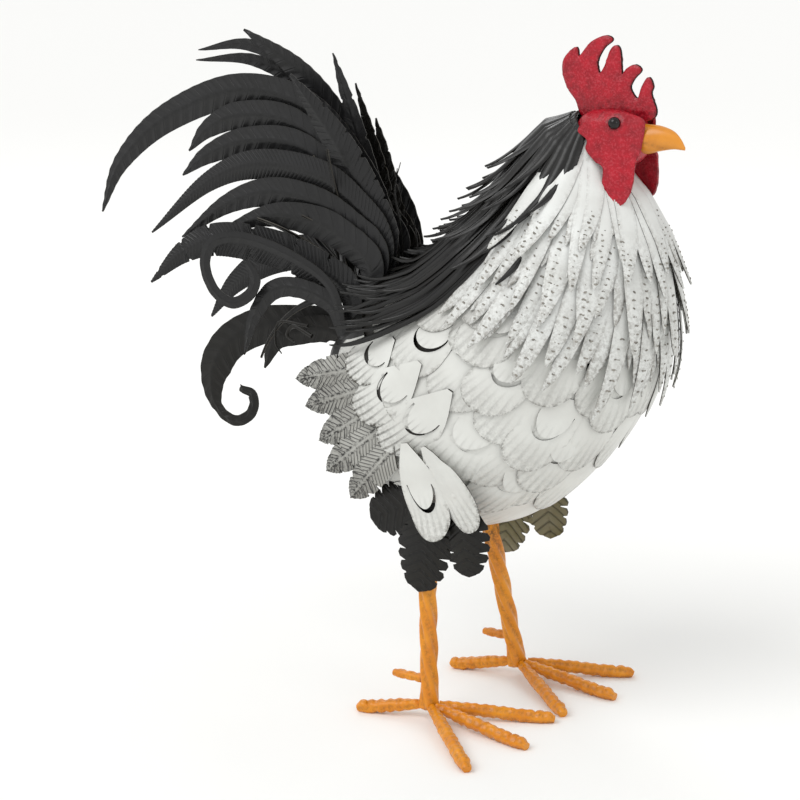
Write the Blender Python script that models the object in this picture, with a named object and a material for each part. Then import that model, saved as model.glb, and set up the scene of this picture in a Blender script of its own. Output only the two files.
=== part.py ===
"""A garden rooster built from painted sheet metal, standing on its own two feet.

Metres, +Z up, +X forward (the beak), +Y the rooster's left. The model is drawn with the
ground between the feet at zero, and a parent empty then shifts it so that the bottom centre
of its box is the origin. The body is a closed sheet form; rows of feather plates, fringed
collars, wings and thigh plates are layered over it, and the tail is a fan of folded blades.
"""

import math

import bmesh
import bpy
from mathutils import Matrix, Vector
from mathutils.bvhtree import BVHTree

# Sheet and fits
SHEET = 0.0010
GAP = 0.0003
LAYER_AIR = 0.0014

# The rooster's half width over its wings, how far they stand off, and so the body's half width
WING_HALF_WIDTH = 0.1180
WING_STANDOFF = 0.0070
BODY_HALF_WIDTH = WING_HALF_WIDTH - WING_STANDOFF

# Body form, from the throat to the rump: back point x, z, breast point x, z, and the half
# width there as a share of the body's
BODY_STATIONS = (
    (0.083, 0.557, 0.141, 0.514, 0.243),
    (0.054, 0.526, 0.162, 0.470, 0.396),
    (0.022, 0.483, 0.174, 0.425, 0.595),
    (-0.012, 0.444, 0.178, 0.375, 0.784),
    (-0.048, 0.414, 0.169, 0.324, 0.919),
    (-0.080, 0.394, 0.141, 0.274, 0.982),
    (-0.103, 0.378, 0.100, 0.226, 1.0),
    (-0.118, 0.364, 0.053, 0.192, 0.964),
    (-0.128, 0.350, 0.002, 0.180, 0.874),
    (-0.136, 0.336, -0.046, 0.190, 0.739),
    (-0.142, 0.322, -0.088, 0.214, 0.559),
    (-0.146, 0.308, -0.120, 0.245, 0.342),
    (-0.148, 0.294, -0.138, 0.272, 0.108),
)
BODY_SIDES = 24
BODY_INSET = 0.0006

# Rows of body plates, in body stations along and degrees round
ROW_COUNT = 7
FIRST_ROW = 3.0
ROW_STEP = 1.0
ROW_OVERLAP = 0.48
ROW_REACH = 126.0
PLATES_PER_ROW = 12

# Fringed collars of the neck
HACKLE_ROOTS = (0.35, 0.55, 0.75)
HACKLE_ENDS = (4.35, 3.4, 2.45)
HACKLE_STRIPS = 18
HACKLE_REACH = 112.0
HACKLE_FLARE = 0.007
FRONT_FLARE = 0.012
FRONT_TURN = 35.0

# Black strands down the nape and over the saddle
NAPE_ROOT = 0.05
NAPE_END = 3.1
NAPE_STRIPS = 12
SADDLE_ROOT = 2.0
SADDLE_END = 6.4
SADDLE_MIDDLE_END = 4.6
SADDLE_STRIPS = 18
SADDLE_EDGE = 121.0
SADDLE_TAIL_EDGE = 153.0

# Head: every place on it is measured from its centre
HEAD_CENTRE = (0.132, 0.0, 0.541)
HEAD_RADII = (0.033, 0.024, 0.0255)
HEAD_SQUARENESS = 2.6
COMB_THICKNESS = 0.0055
FACE_THICKNESS = 0.0022
FACE_BEND = -0.006
FACE_SPREAD = 0.10
FACE_TURN_X = 0.0145
FACE_TURN = 0.35
EYE_RADIUS = 0.0055
EYE_PLACE = (0.0142, 0.0165)
BEAK_HALF_WIDTH = 0.0125
# The beak from root to hooked tip: x, upper z, lower z
BEAK_PROFILE = (
    (0.0180, 0.0145, -0.0010),
    (0.0250, 0.0145, -0.0070),
    (0.0330, 0.0142, -0.0118),
    (0.0460, 0.0135, -0.0085),
    (0.0580, 0.0098, -0.0060),
    (0.0650, 0.0035, -0.0060),
    (0.0692, -0.0032, -0.0062),
)

# Legs and feet: each leg's x, and how far it stands inside the thigh apron's face
LEG_PLACES = {"right": (-0.0045, 0.0155), "left": (0.009, 0.0295)}
LEG_LEAN = {"right": (-0.004, 0.0), "left": (-0.030, -0.018)}
LEG_WIDTH = 0.0205
LEG_THICKNESS = 0.0180
LEG_TWIST = 200.0
ANKLE_RADIUS = 0.0118
ANKLE_HEIGHT = 0.0085
TOE_ROOT_HEIGHT = 0.0180
TOE_WIDTH = 0.0124
# Each toe's direction in degrees from +X and its reach from the ankle
TOES = {
    "right": {"outer": (-44.5, 0.133), "middle": (-9.7, 0.115), "inner": (27.0, 0.1155), "back": (-165.0, 0.070)},
    "left": {"outer": (29.0, 0.111), "middle": (-6.2, 0.1115), "inner": (-40.3, 0.1185), "back": (-166.0, 0.068)},
}
SPUR_HEIGHT = 0.036
SPUR_LENGTH = 0.027
SPUR_WIDTH = 0.0085

# Wings and thighs
COVERT_ROOT = 5.25
COVERT_END = 7.55
COVERT_REACH = (76.0, 130.0)
COVERT_COUNT = 3
WING_STATION = 7
WING_MIDDLE = 0.275
WING_HALF_HEIGHT = 0.135
WING_TAPER = 0.10
FLIGHT_GAP = 0.06
THIGH_STATION = 8
THIGH_INSET = 0.0025
THIGH_FLARE_HEIGHT = 0.200
THIGH_FLARE = 0.28
THIGH_SHIFT = {"right": 0.0, "left": -0.018}
LEAF_DROP = {"right": 0.0, "left": 0.016}

# Tail
TAIL_CENTRE = (-0.085, 0.390)
TAIL_FAN = 1.8
TAIL_LAYER = 0.0046
TAIL_FOLD = 9.0
TAIL_STEM = 0.0075
BLADE_STATIONS = 7

COLOURS = {
    "white_enamel": ((0.80, 0.80, 0.77), 0.42, 0.0),
    "black_enamel": ((0.022, 0.021, 0.020), 0.5, 0.1),
    "charcoal_enamel": ((0.035, 0.035, 0.036), 0.5, 0.1),
    "grey_washed_enamel": ((0.28, 0.27, 0.24), 0.5, 0.0),
    "crimson_enamel": ((0.50, 0.015, 0.035), 0.35, 0.0),
    "orange_enamel": ((0.75, 0.27, 0.02), 0.4, 0.0),
    "dark_bead": ((0.01, 0.01, 0.012), 0.08, 0.0),
}


def clear_scene():
    for obj in list(bpy.data.objects):
        bpy.data.objects.remove(obj, do_unlink=True)


def enamel(name):
    """A painted finish: colour, roughness and metallic value."""
    found = bpy.data.materials.get(name)
    if found:
        return found
    colour, roughness, metallic = COLOURS[name]
    material = bpy.data.materials.new(name)
    material.use_nodes = True
    shader = material.node_tree.nodes["Principled BSDF"]
    shader.inputs["Base Color"].default_value = (*colour, 1.0)
    shader.inputs["Roughness"].default_value = roughness
    shader.inputs["Metallic"].default_value = metallic
    return material


def catmull(points, t):
    """A smooth curve through the points, one unit of t from each to the next."""
    last = len(points) - 1
    i = min(max(int(math.floor(t)), 0), last - 1)
    u = t - i
    p1, p2 = Vector(points[i]), Vector(points[i + 1])
    p0 = Vector(points[i - 1]) if i > 0 else 2 * p1 - p2
    p3 = Vector(points[i + 2]) if i + 2 <= last else 2 * p2 - p1
    return 0.5 * (
        2 * p1
        + (p2 - p0) * u
        + (2 * p0 - 5 * p1 + 4 * p2 - p3) * u * u
        + (3 * p1 - p0 - 3 * p2 + p3) * u ** 3
    )


def ramp(x, low, high):
    return min(max((x - low) / (high - low), 0.0), 1.0)


def half_width(t):
    return BODY_HALF_WIDTH * catmull(BODY_STATIONS, t)[4]


def body_point(t, degrees):
    """The body form: t runs from the throat to the rump, degrees from breast (0) to back (180)."""
    station = catmull(BODY_STATIONS, t)
    back = Vector((station[0], 0, station[1]))
    breast = Vector((station[2], 0, station[3]))
    angle = math.radians(degrees)
    across = Vector((0, half_width(t), 0))
    return (back + breast) / 2 + (breast - back) / 2 * math.cos(angle) + across * math.sin(angle)


def body_normal(t, degrees):
    step = 0.02
    along = body_point(t + step, degrees) - body_point(t - step, degrees)
    around = body_point(t, degrees + 2) - body_point(t, degrees - 2)
    return along.cross(around).normalized()


def on_body(t, degrees, lift):
    return body_point(t, degrees) + body_normal(t, degrees) * lift


def new_object(name, bm, material, smooth=False):
    mesh = bpy.data.meshes.new(name)
    bm.to_mesh(mesh)
    bm.free()
    obj = bpy.data.objects.new(name, mesh)
    bpy.context.scene.collection.objects.link(obj)
    mesh.materials.append(enamel(material))
    if smooth:
        mesh.shade_smooth()
        mesh.set_sharp_from_angle(angle=math.radians(40))
    return obj


def thicken(obj, thickness):
    """Gives an open sheet its thickness, half to each side."""
    modifier = obj.modifiers.new("Sheet", "SOLIDIFY")
    modifier.thickness = thickness
    modifier.offset = 0.0
    return obj


def add_quad(bm, corners):
    distinct = list(dict.fromkeys(corners))
    if len(distinct) > 2 and not bm.faces.get(distinct):
        bm.faces.new(distinct)


def tongues(name, place, count, levels, columns, material, thickness=SHEET):
    """A sheet cut into side-by-side tongues that stay joined along its first two levels.

    place(tongue, level, across) gives a point, with across from -1 to 1; neighbours meet at
    the first two levels, where their edge points are the same.
    """
    bm = bmesh.new()
    for tongue in range(count):
        grid = [
            [bm.verts.new(place(tongue, level, 2 * c / columns - 1)) for c in range(columns + 1)]
            for level in levels
        ]
        for near, far in zip(grid, grid[1:]):
            for c in range(columns):
                add_quad(bm, (near[c], near[c + 1], far[c + 1], far[c]))
    bmesh.ops.remove_doubles(bm, verts=bm.verts, dist=1e-5)
    bmesh.ops.recalc_face_normals(bm, faces=bm.faces)
    return thicken(new_object(name, bm, material), thickness)


def make_body():
    bm = bmesh.new()
    rings = []
    for t in range(len(BODY_STATIONS)):
        turns = [360 * k / BODY_SIDES for k in range(BODY_SIDES)]
        rings.append([bm.verts.new(on_body(t, turn, -BODY_INSET)) for turn in turns])
    for near, far in zip(rings, rings[1:]):
        for k in range(BODY_SIDES):
            bm.faces.new((near[k], near[k - 1], far[k - 1], far[k]))
    bm.faces.new(rings[0])
    bm.faces.new(reversed(rings[-1]))
    bmesh.ops.recalc_face_normals(bm, faces=bm.faces)
    return new_object("body_shell", bm, "black_enamel", smooth=True)


def plate_lift(t, root):
    """Each row rises by a sheet and some air for every row step, so it rides over the next."""
    return SHEET / 2 + GAP + (SHEET + LAYER_AIR) * max(t - root, 0) / ROW_STEP


def plates_top():
    return plate_lift(FIRST_ROW + ROW_STEP + ROW_OVERLAP, FIRST_ROW) + SHEET / 2


def make_plate_row(row):
    """One row of overlapping oval plates, open over the back where the saddle covers it."""
    root = FIRST_ROW + row * ROW_STEP
    stagger = 0.5 * (row % 2)
    count = PLATES_PER_ROW + row % 2
    pitch = 2 * ROW_REACH / PLATES_PER_ROW
    start = -ROW_REACH - stagger * pitch

    def place(plate, level, across):
        turn = start + pitch * (plate + 0.5 + across / 2)
        t = root + min(level, 1) * ROW_STEP
        if level > 1:
            t += ROW_OVERLAP * math.sqrt(max(1 - across * across, 0))
        return on_body(t, turn, plate_lift(t, root))

    return tongues(f"plate_row_{row + 1}", place, count, (0, 1, 2), 3, "white_enamel")


def hackle_lift(t, collar):
    """The collars rise over the first row of plates, one over the other."""
    base = SHEET / 2 + GAP
    over_plates = plates_top() + SHEET / 2 + GAP
    nested = collar * (SHEET + 2 * GAP)
    spread = collar * LAYER_AIR * ramp(t, HACKLE_ROOTS[collar], HACKLE_ROOTS[collar] + 1)
    return base + (over_plates - base) * ramp(t, 0.5, 3.6) + nested + spread


def strip_width(level, levels):
    """Strips are full width where they join and taper to a narrow tip."""
    if level < levels[2]:
        return 1.0
    return 0.94 - 0.80 * ramp(level, levels[1], levels[-1]) ** 2.2


def strip_levels(root, end):
    inner = [t for t in range(1, 12) if root + 0.2 < t < end - 0.3]
    return [root, *inner, end]


def make_hackle(collar):
    """A fringed collar: a band round the neck cut into long tapering strips."""
    levels = strip_levels(HACKLE_ROOTS[collar], HACKLE_ENDS[collar])
    count = HACKLE_STRIPS
    pitch = 2 * HACKLE_REACH / count

    def place(strip, level, across):
        turn = pitch * (strip + 0.5 + across * strip_width(level, levels) / 2) - HACKLE_REACH
        ahead = max(math.cos(math.radians(turn - FRONT_TURN)), 0) ** 2
        flare = (HACKLE_FLARE + FRONT_FLARE * ahead) * ramp(level, levels[1], levels[-1]) ** 2
        reach = level - 0.35 * (strip % 2) * (level == levels[-1])
        return on_body(reach, turn, hackle_lift(level, collar) + flare)

    name = f"hackle_collar_{('lower', 'middle', 'upper')[collar]}"
    return tongues(name, place, count, levels, 1, "white_enamel")


def make_nape():
    """Black strands from the back of the head down the neck, lifting off at their tips."""
    levels = strip_levels(NAPE_ROOT, NAPE_END)
    reach = 2 * (180 - HACKLE_REACH) - 6
    pitch = reach / NAPE_STRIPS

    def place(strip, level, across):
        turn = 180 - reach / 2 + pitch * (strip + 0.5 + across * strip_width(level, levels) / 2)
        end = level == levels[-1]
        tip = level - 0.9 * (strip % 3) / 2 * end
        lift = SHEET / 2 + 2 * GAP + 0.0035 * ramp(level, 0.5, 2) + 0.012 * end
        return on_body(tip, turn, lift)

    return tongues("nape_strands", place, NAPE_STRIPS, levels, 1, "black_enamel")


def make_saddle():
    """Black strands over the whole back, short before the tail and long on both sides of it."""
    levels = strip_levels(SADDLE_ROOT, SADDLE_END)
    low, high = SADDLE_EDGE, 360 - SADDLE_EDGE
    pitch = (high - low) / SADDLE_STRIPS

    def place(strip, level, across):
        middle = low + pitch * (strip + 0.5)
        beside = abs(middle - 180) > 180 - SADDLE_TAIL_EDGE
        end = SADDLE_END if beside else SADDLE_MIDDLE_END
        reach = min(level, end)
        stretched = max(reach, levels[1] + (reach - levels[1]) * (SADDLE_END - levels[1]) / (end - levels[1]))
        turn = middle + pitch * across * strip_width(stretched, levels) / 2
        tip = reach - 0.5 * (strip % 2) * (level == levels[-1])
        lift = SHEET / 2 + GAP + (plates_top() + GAP) * ramp(reach, SADDLE_ROOT, FIRST_ROW)
        lift += (covert_lift(COVERT_END) - covert_lift(0) + SHEET + 8 * GAP) * ramp(reach, 4, 6)
        return on_body(tip, turn, lift)

    return tongues("saddle_strands", place, SADDLE_STRIPS, levels, 1, "black_enamel")


def ellipsoid(name, centre, radii, material, segments=16, rings=10, power=2.0):
    """A closed oval; a power above 2 squares its shoulders."""
    bm = bmesh.new()
    bmesh.ops.create_uvsphere(bm, u_segments=segments, v_segments=rings, radius=1.0)
    for v in bm.verts:
        v.co /= sum(abs(part) ** power for part in v.co) ** (1 / power)
    bmesh.ops.scale(bm, vec=radii, verts=bm.verts)
    bmesh.ops.translate(bm, vec=centre, verts=bm.verts)
    return new_object(name, bm, material, smooth=True)


def slice_away(obj, point, normal):
    """Cuts off what lies beyond the plane and closes the cut."""
    bm = bmesh.new()
    bm.from_mesh(obj.data)
    everything = list(bm.verts) + list(bm.edges) + list(bm.faces)
    bmesh.ops.bisect_plane(bm, geom=everything, plane_co=point, plane_no=normal, clear_outer=True)
    bmesh.ops.holes_fill(bm, edges=[e for e in bm.edges if e.is_boundary])
    bmesh.ops.recalc_face_normals(bm, faces=bm.faces)
    bm.to_mesh(obj.data)
    bm.free()


def cut_away(obj, cutter):
    modifier = obj.modifiers.new("Fit", "BOOLEAN")
    modifier.operation = "DIFFERENCE"
    modifier.solver = "EXACT"
    modifier.object = cutter


def make_head():
    """An oval head that sits on the closed top of the neck."""
    head = ellipsoid("head", HEAD_CENTRE, HEAD_RADII, "black_enamel", power=HEAD_SQUARENESS)
    back = body_point(0, 180)
    breast = body_point(0, 0)
    along = (breast - back).normalized()
    up = Vector((-along.z, 0, along.x))
    slice_away(head, back + up * (GAP + BODY_INSET), -up)
    return head


def head_cutter():
    radii = [radius + GAP for radius in HEAD_RADII]
    cutter = ellipsoid("head_clearance", HEAD_CENTRE, radii, "black_enamel", power=HEAD_SQUARENESS)
    cutter.hide_render = True
    cutter.display_type = "WIRE"
    return cutter


def comb_outline():
    """The comb's outline: a rear lobe and four rounded points with notches between."""
    x0, z0 = HEAD_CENTRE[0], HEAD_CENTRE[2]
    rear = [(-0.024, 0.014), (-0.0365, 0.0310), (-0.0440, 0.0400), (-0.0495, 0.0535)]
    lobe = [(-0.0485, 0.0660), (-0.0385, 0.0762), (-0.0355, 0.0745), (-0.0335, 0.0690)]
    second = [(-0.0230, 0.0815), (-0.0110, 0.0885), (-0.0045, 0.0885), (-0.0020, 0.0845), (-0.0100, 0.0770)]
    third = [(-0.0160, 0.0650), (-0.0135, 0.0555), (-0.0085, 0.0620), (-0.0035, 0.0755), (0.0020, 0.0800)]
    fourth = [(0.0060, 0.0750), (0.0080, 0.0560), (0.0125, 0.0605), (0.0205, 0.0645), (0.0265, 0.0600)]
    fifth = [(0.0200, 0.0525), (0.0165, 0.0440), (0.0235, 0.0355), (0.0275, 0.0460), (0.0335, 0.0545), (0.0380, 0.0470)]
    front = [(0.0365, 0.0400), (0.0415, 0.0270), (0.0395, 0.0200), (0.0305, 0.0160), (0.0240, 0.0160)]
    return [(x0 + x, z0 + z) for x, z in rear + lobe + second + third + fourth + fifth + front]


def slab(name, outline, middle, thickness, material):
    """A flat outline in the x, z plane made into a plate."""
    bm = bmesh.new()
    face = bm.faces.new([bm.verts.new((x, middle - thickness / 2, z)) for x, z in outline])
    pushed = bmesh.ops.extrude_face_region(bm, geom=[face])
    moved = [v for v in pushed["geom"] if isinstance(v, bmesh.types.BMVert)]
    bmesh.ops.translate(bm, vec=(0, thickness, 0), verts=moved)
    bmesh.ops.recalc_face_normals(bm, faces=bm.faces)
    return new_object(name, bm, material)


def make_comb(cutter):
    comb = slab("comb", comb_outline(), 0, COMB_THICKNESS, "crimson_enamel")
    cut_away(comb, cutter)
    return comb


def make_beak(cutter):
    """A full, slightly hooked beak, fitted to the front of the head."""
    bm = bmesh.new()
    rings = []
    sides = 10
    first, last = BEAK_PROFILE[0][0], BEAK_PROFILE[-1][0]
    for x, upper, lower in BEAK_PROFILE:
        share = (x - first) / (last - first)
        width = BEAK_HALF_WIDTH * (1 - 0.93 * share ** 1.8)
        ring = []
        for j in range(sides):
            angle = 2 * math.pi * j / sides
            z = (upper + lower) / 2 + (upper - lower) / 2 * math.sin(angle)
            ring.append(bm.verts.new(Vector(HEAD_CENTRE) + Vector((x, width * math.cos(angle), z))))
        rings.append(ring)
    for near, far in zip(rings, rings[1:]):
        for j in range(sides):
            bm.faces.new((near[j - 1], near[j], far[j], far[j - 1]))
    bm.faces.new(rings[0])
    bm.faces.new(rings[-1])
    bmesh.ops.recalc_face_normals(bm, faces=bm.faces)
    beak = new_object("beak", bm, "orange_enamel", smooth=True)
    cut_away(beak, cutter)
    return beak


def face_depth(x, z):
    """How far the cheek plate stands from the middle: it turns in to the beak and spreads down the wattle."""
    cheek = HEAD_RADII[1] + GAP + FACE_THICKNESS / 2
    return cheek + FACE_SPREAD * max(FACE_BEND - z, 0) - FACE_TURN * max(x - FACE_TURN_X, 0)


def on_face(side, x, z):
    """The place on the cheek plate at x, z from the head's centre."""
    sign = -1 if side == "right" else 1
    return Vector(HEAD_CENTRE) + Vector((x, sign * face_depth(x, z), z))


def face_rows():
    """The cheek plate, ear lobe and wattle as level rows: height, rear x, front x."""
    return (
        (0.0240, 0.0025, 0.0121),
        (0.0190, -0.0080, 0.0277),
        (0.0130, -0.0165, 0.0318),
        (0.0070, -0.0198, 0.0306),
        (0.0005, -0.0105, 0.0293),
        (-0.0070, -0.0115, 0.0301),
        (-0.0140, -0.0065, 0.0321),
        (-0.0185, -0.0009, 0.0324),
        (-0.0220, 0.0058, 0.0326),
        (-0.0310, 0.0064, 0.0330),
        (-0.0400, 0.0085, 0.0301),
        (-0.0465, 0.0137, 0.0256),
        (-0.0505, 0.0176, 0.0217),
    )


def make_face(side):
    bm = bmesh.new()
    rows = []
    for z, rear, front in face_rows():
        middle = FACE_TURN_X if rear < FACE_TURN_X - 0.001 else (rear + front) / 2
        rows.append([bm.verts.new(on_face(side, x, z)) for x in (rear, middle, front)])
    for upper, lower in zip(rows, rows[1:]):
        for k in range(2):
            bm.faces.new((upper[k], upper[k + 1], lower[k + 1], lower[k]))
    bmesh.ops.recalc_face_normals(bm, faces=bm.faces)
    return thicken(new_object(f"face_{side}", bm, "crimson_enamel"), FACE_THICKNESS)


def make_eye(side):
    """A domed bead set on the cheek plate."""
    sign = -1 if side == "right" else 1
    outward = Vector((FACE_TURN, sign, 0)).normalized()
    seat = on_face(side, *EYE_PLACE) + outward * (FACE_THICKNESS / 2 + GAP)
    radii = (EYE_RADIUS, EYE_RADIUS, EYE_RADIUS)
    eye = ellipsoid(f"eye_{side}", seat, radii, "dark_bead", 10, 6)
    slice_away(eye, seat, -outward)
    return eye


def tree_of(objects):
    """A search tree over the finished surfaces of some objects."""
    bpy.context.view_layer.update()
    graph = bpy.context.evaluated_depsgraph_get()
    points, faces = [], []
    for obj in objects:
        mesh = obj.evaluated_get(graph).to_mesh()
        start = len(points)
        points += [obj.matrix_world @ v.co for v in mesh.vertices]
        faces += [[start + v for v in polygon.vertices] for polygon in mesh.polygons]
    return BVHTree.FromPolygons(points, faces)


def leg_top(x, y, cover):
    """The height at which the lowest thing above the leg's whole section begins."""
    lowest = None
    reach = LEG_WIDTH * 0.75
    steps = 7
    for i in range(steps):
        for j in range(steps):
            corner = Vector((x + reach * (2 * i / (steps - 1) - 1), y + reach * (2 * j / (steps - 1) - 1), 0.05))
            hit = cover.ray_cast(corner, Vector((0, 0, 1)))[0]
            if hit and (lowest is None or hit.z < lowest):
                lowest = hit.z
    return lowest - GAP


def leg_place(side):
    """Where a leg stands: its x, and its y from the thigh apron's face."""
    x, inset = LEG_PLACES[side]
    sign = -1 if side == "right" else 1
    return x, sign * (thigh_depth(0) - inset)


def make_leg(side, cover):
    """A square bar twisted along its length, with a rounded ankle at the foot."""
    x, y = leg_place(side)
    lean = LEG_LEAN[side]
    top = leg_top(x + lean[0], y + lean[1], cover)
    ankle_top = ANKLE_HEIGHT + 2 * ANKLE_RADIUS * 0.55
    bm = bmesh.new()
    rings = []
    sides = 6
    for z, radius in ((ANKLE_HEIGHT, 0.55), (ANKLE_HEIGHT + 0.003, 1.0), (ankle_top, 0.9)):
        ring = []
        for k in range(sides):
            angle = 2 * math.pi * (k + 0.5) / sides
            r = ANKLE_RADIUS * radius
            ring.append(bm.verts.new((x + r * math.cos(angle), y + r * math.sin(angle), z)))
        rings.append(ring)
    turns = 10
    for k in range(turns + 1):
        s = k / turns
        z = ankle_top + 0.006 + (top - ankle_top - 0.006) * s
        twist = math.radians(LEG_TWIST * s)
        middle = Vector((x + lean[0] * s, y + lean[1] * s, z))
        ring = []
        for j in range(sides):
            angle = 2 * math.pi * (j + 0.5) / sides
            corner = 1.0 if j % 2 else 0.86
            px = LEG_WIDTH / 2 * math.cos(angle) * corner
            py = LEG_THICKNESS / 2 * math.sin(angle) * corner
            turned = Matrix.Rotation(twist, 3, "Z") @ Vector((px, py, 0))
            ring.append(bm.verts.new(middle + turned))
        rings.append(ring)
    for near, far in zip(rings, rings[1:]):
        for k in range(sides):
            bm.faces.new((near[k - 1], near[k], far[k], far[k - 1]))
    bm.faces.new(rings[0])
    bm.faces.new(rings[-1])
    bmesh.ops.recalc_face_normals(bm, faces=bm.faces)
    return new_object(f"leg_{side}", bm, "orange_enamel")


ROD_SIDES = 6


def rod(name, course, radii, material, sides=ROD_SIDES, floor=None):
    """A rod along a course of points; below the floor it is flattened."""
    bm = bmesh.new()
    rings = []
    for k, (point, radius) in enumerate(zip(course, radii)):
        ahead = course[min(k + 1, len(course) - 1)] - course[max(k - 1, 0)]
        ahead.normalize()
        side = ahead.cross(Vector((0, 0, 1))).normalized()
        up = side.cross(ahead)
        ring = []
        for j in range(sides):
            angle = 2 * math.pi * (j + 0.5) / sides - math.pi / 2
            v = point + side * radius * math.cos(angle) + up * radius * math.sin(angle)
            if floor is not None:
                v.z = max(v.z, floor)
            ring.append(bm.verts.new(v))
        rings.append(ring)
    for near, far in zip(rings, rings[1:]):
        for j in range(sides):
            bm.faces.new((near[j - 1], near[j], far[j], far[j - 1]))
    bm.faces.new(rings[0])
    bm.faces.new(rings[-1])
    bmesh.ops.recalc_face_normals(bm, faces=bm.faces)
    return new_object(name, bm, material, smooth=True)


def make_toe(side, toe):
    """A hammered toe that leaves the ankle and comes down flat on the ground."""
    x, y = leg_place(side)
    turn, length = TOES[side][toe]
    radius = TOE_WIDTH / 2
    flat = math.cos(math.pi / ROD_SIDES)
    low = radius * flat
    start = ANKLE_RADIUS + GAP + 0.0012
    landing = 0.82 * length
    direction = Vector((math.cos(math.radians(turn)), math.sin(math.radians(turn)), 0))
    course, radii = [], []
    steps = 6
    for k in range(steps + 1):
        s = k / steps
        reach = start + (length - start) * s
        drop = ramp(reach, start, landing)
        height = low + (TOE_ROOT_HEIGHT - low) * (1 - drop ** 1.8)
        swell = 1.0 + 0.06 * math.sin(5 * s + 1)
        root = 0.62 + 0.38 * ramp(s, 0, 0.3)
        thick = radius * swell * root * (1 - 0.35 * ramp(s, 0.8, 1))
        if reach > landing:
            height = thick * flat * 0.9
        course.append(Vector((x, y, height)) + direction * reach)
        radii.append(thick)
    return rod(f"toe_{toe}_{side}", course, radii, "orange_enamel", floor=0.0)


def make_spur(side):
    """A short blunt spur on the back of the leg."""
    x, y = leg_place(side)
    away = Vector((-1, 0, 0.12)).normalized()
    start = Vector((x - LEG_WIDTH * 0.62 - GAP, y, SPUR_HEIGHT))
    course = [start + away * SPUR_LENGTH * s for s in (0, 0.35, 0.8, 1.0)]
    radii = [SPUR_WIDTH / 2 * s for s in (0.9, 1.0, 0.8, 0.35)]
    return rod(f"spur_{side}", course, radii, "orange_enamel", sides=6)


def covert_lift(t):
    """The wing's plates leave the body plates and rise over the flight feathers."""
    near = plates_top() + SHEET / 2 + GAP
    far = WING_HALF_WIDTH - half_width(WING_STATION) + 2 * SHEET + 2 * GAP
    return near + (far - near) * ramp(t, COVERT_ROOT, COVERT_END - 0.9)


def make_coverts(side):
    """Three large plates over the shoulder of the wing."""
    sign = -1 if side == "right" else 1
    low, high = COVERT_REACH
    pitch = (high - low) / COVERT_COUNT

    def place(plate, level, across):
        turn = low + pitch * (plate + 0.5 + across / 2)
        t = COVERT_ROOT + level * (COVERT_END - COVERT_ROOT) * 0.72
        if level > 0.9:
            t += 0.28 * (COVERT_END - COVERT_ROOT) * math.sqrt(max(1 - across * across, 0))
        point = on_body(t, sign * turn, plates_top() + SHEET / 2 + GAP)
        over = wing_depth(point.x, point.z) + SHEET + 6 * GAP - 0.4 * max(point.x, 0)
        point.y = sign * max(abs(point.y), over)
        return point

    levels = (0, 0.35, 0.7, 0.95)
    return tongues(f"wing_coverts_{side}", place, COVERT_COUNT, levels, 4, "white_enamel")


def wing_depth(x, z):
    """The flight feathers lie on a shallow curved form just outside the body plates."""
    width = WING_HALF_WIDTH + WING_TAPER * (x + 0.03)
    return width * math.sqrt(max(1 - ((z - WING_MIDDLE) / WING_HALF_HEIGHT) ** 2, 0.2))


# Flight feathers of one wing: root x, z and tip x, z of each, top to bottom
FLIGHTS = (
    ((-0.050, 0.334), (-0.137, 0.311)),
    ((-0.046, 0.318), (-0.122, 0.289)),
    ((-0.042, 0.300), (-0.104, 0.261)),
    ((-0.034, 0.283), (-0.100, 0.233)),
    ((-0.020, 0.268), (-0.078, 0.210)),
)


def flight_share(level):
    """How much of its part of the fan a feather fills: all of it at the root, little at its tip."""
    if level < 0.4:
        return 1.0
    return (1 - FLIGHT_GAP) * (1 - 0.93 * ramp(level, 0.55, 1) ** 1.8)


def make_flights(side):
    """Five ribbed feathers stamped as one fanned sheet, their tips clear of the rump."""
    sign = -1 if side == "right" else 1
    count = len(FLIGHTS)

    def edge(k):
        """The point between two neighbouring roots, and its direction."""
        near = FLIGHTS[max(k - 1, 0)]
        far = FLIGHTS[min(k, count - 1)]
        root = (Vector(near[0]) + Vector(far[0])) / 2
        tip = (Vector(near[1]) + Vector(far[1])) / 2
        if k == 0:
            root += Vector((-0.001, 0.007))
            tip += Vector((-0.001, 0.007))
        if k == count:
            root += Vector((0.007, -0.009))
            tip += Vector((0.007, -0.009))
        return root, tip - root

    def place(feather, level, across):
        first, first_way = edge(feather)
        second, second_way = edge(feather + 1)
        upper, lower = first + first_way * level, second + second_way * level
        share = (1 + across * flight_share(level)) / 2
        aim = Vector(FLIGHTS[feather][1]) - (first + first_way + second + second_way) / 2
        x, z = upper * (1 - share) + lower * share + aim * ramp(level, 0.55, 1)
        return Vector((x, sign * wing_depth(x, z), z))

    levels = (0, 0.3, 0.55, 0.8, 1.0)
    return tongues(f"wing_flights_{side}", place, count, levels, 2, "grey_washed_enamel")


def thigh_depth(z):
    """How far the apron hangs from the middle: just inside the body's half width, and further up high."""
    return half_width(THIGH_STATION) - THIGH_INSET + THIGH_FLARE * max(z - THIGH_FLARE_HEIGHT, 0)


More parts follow.
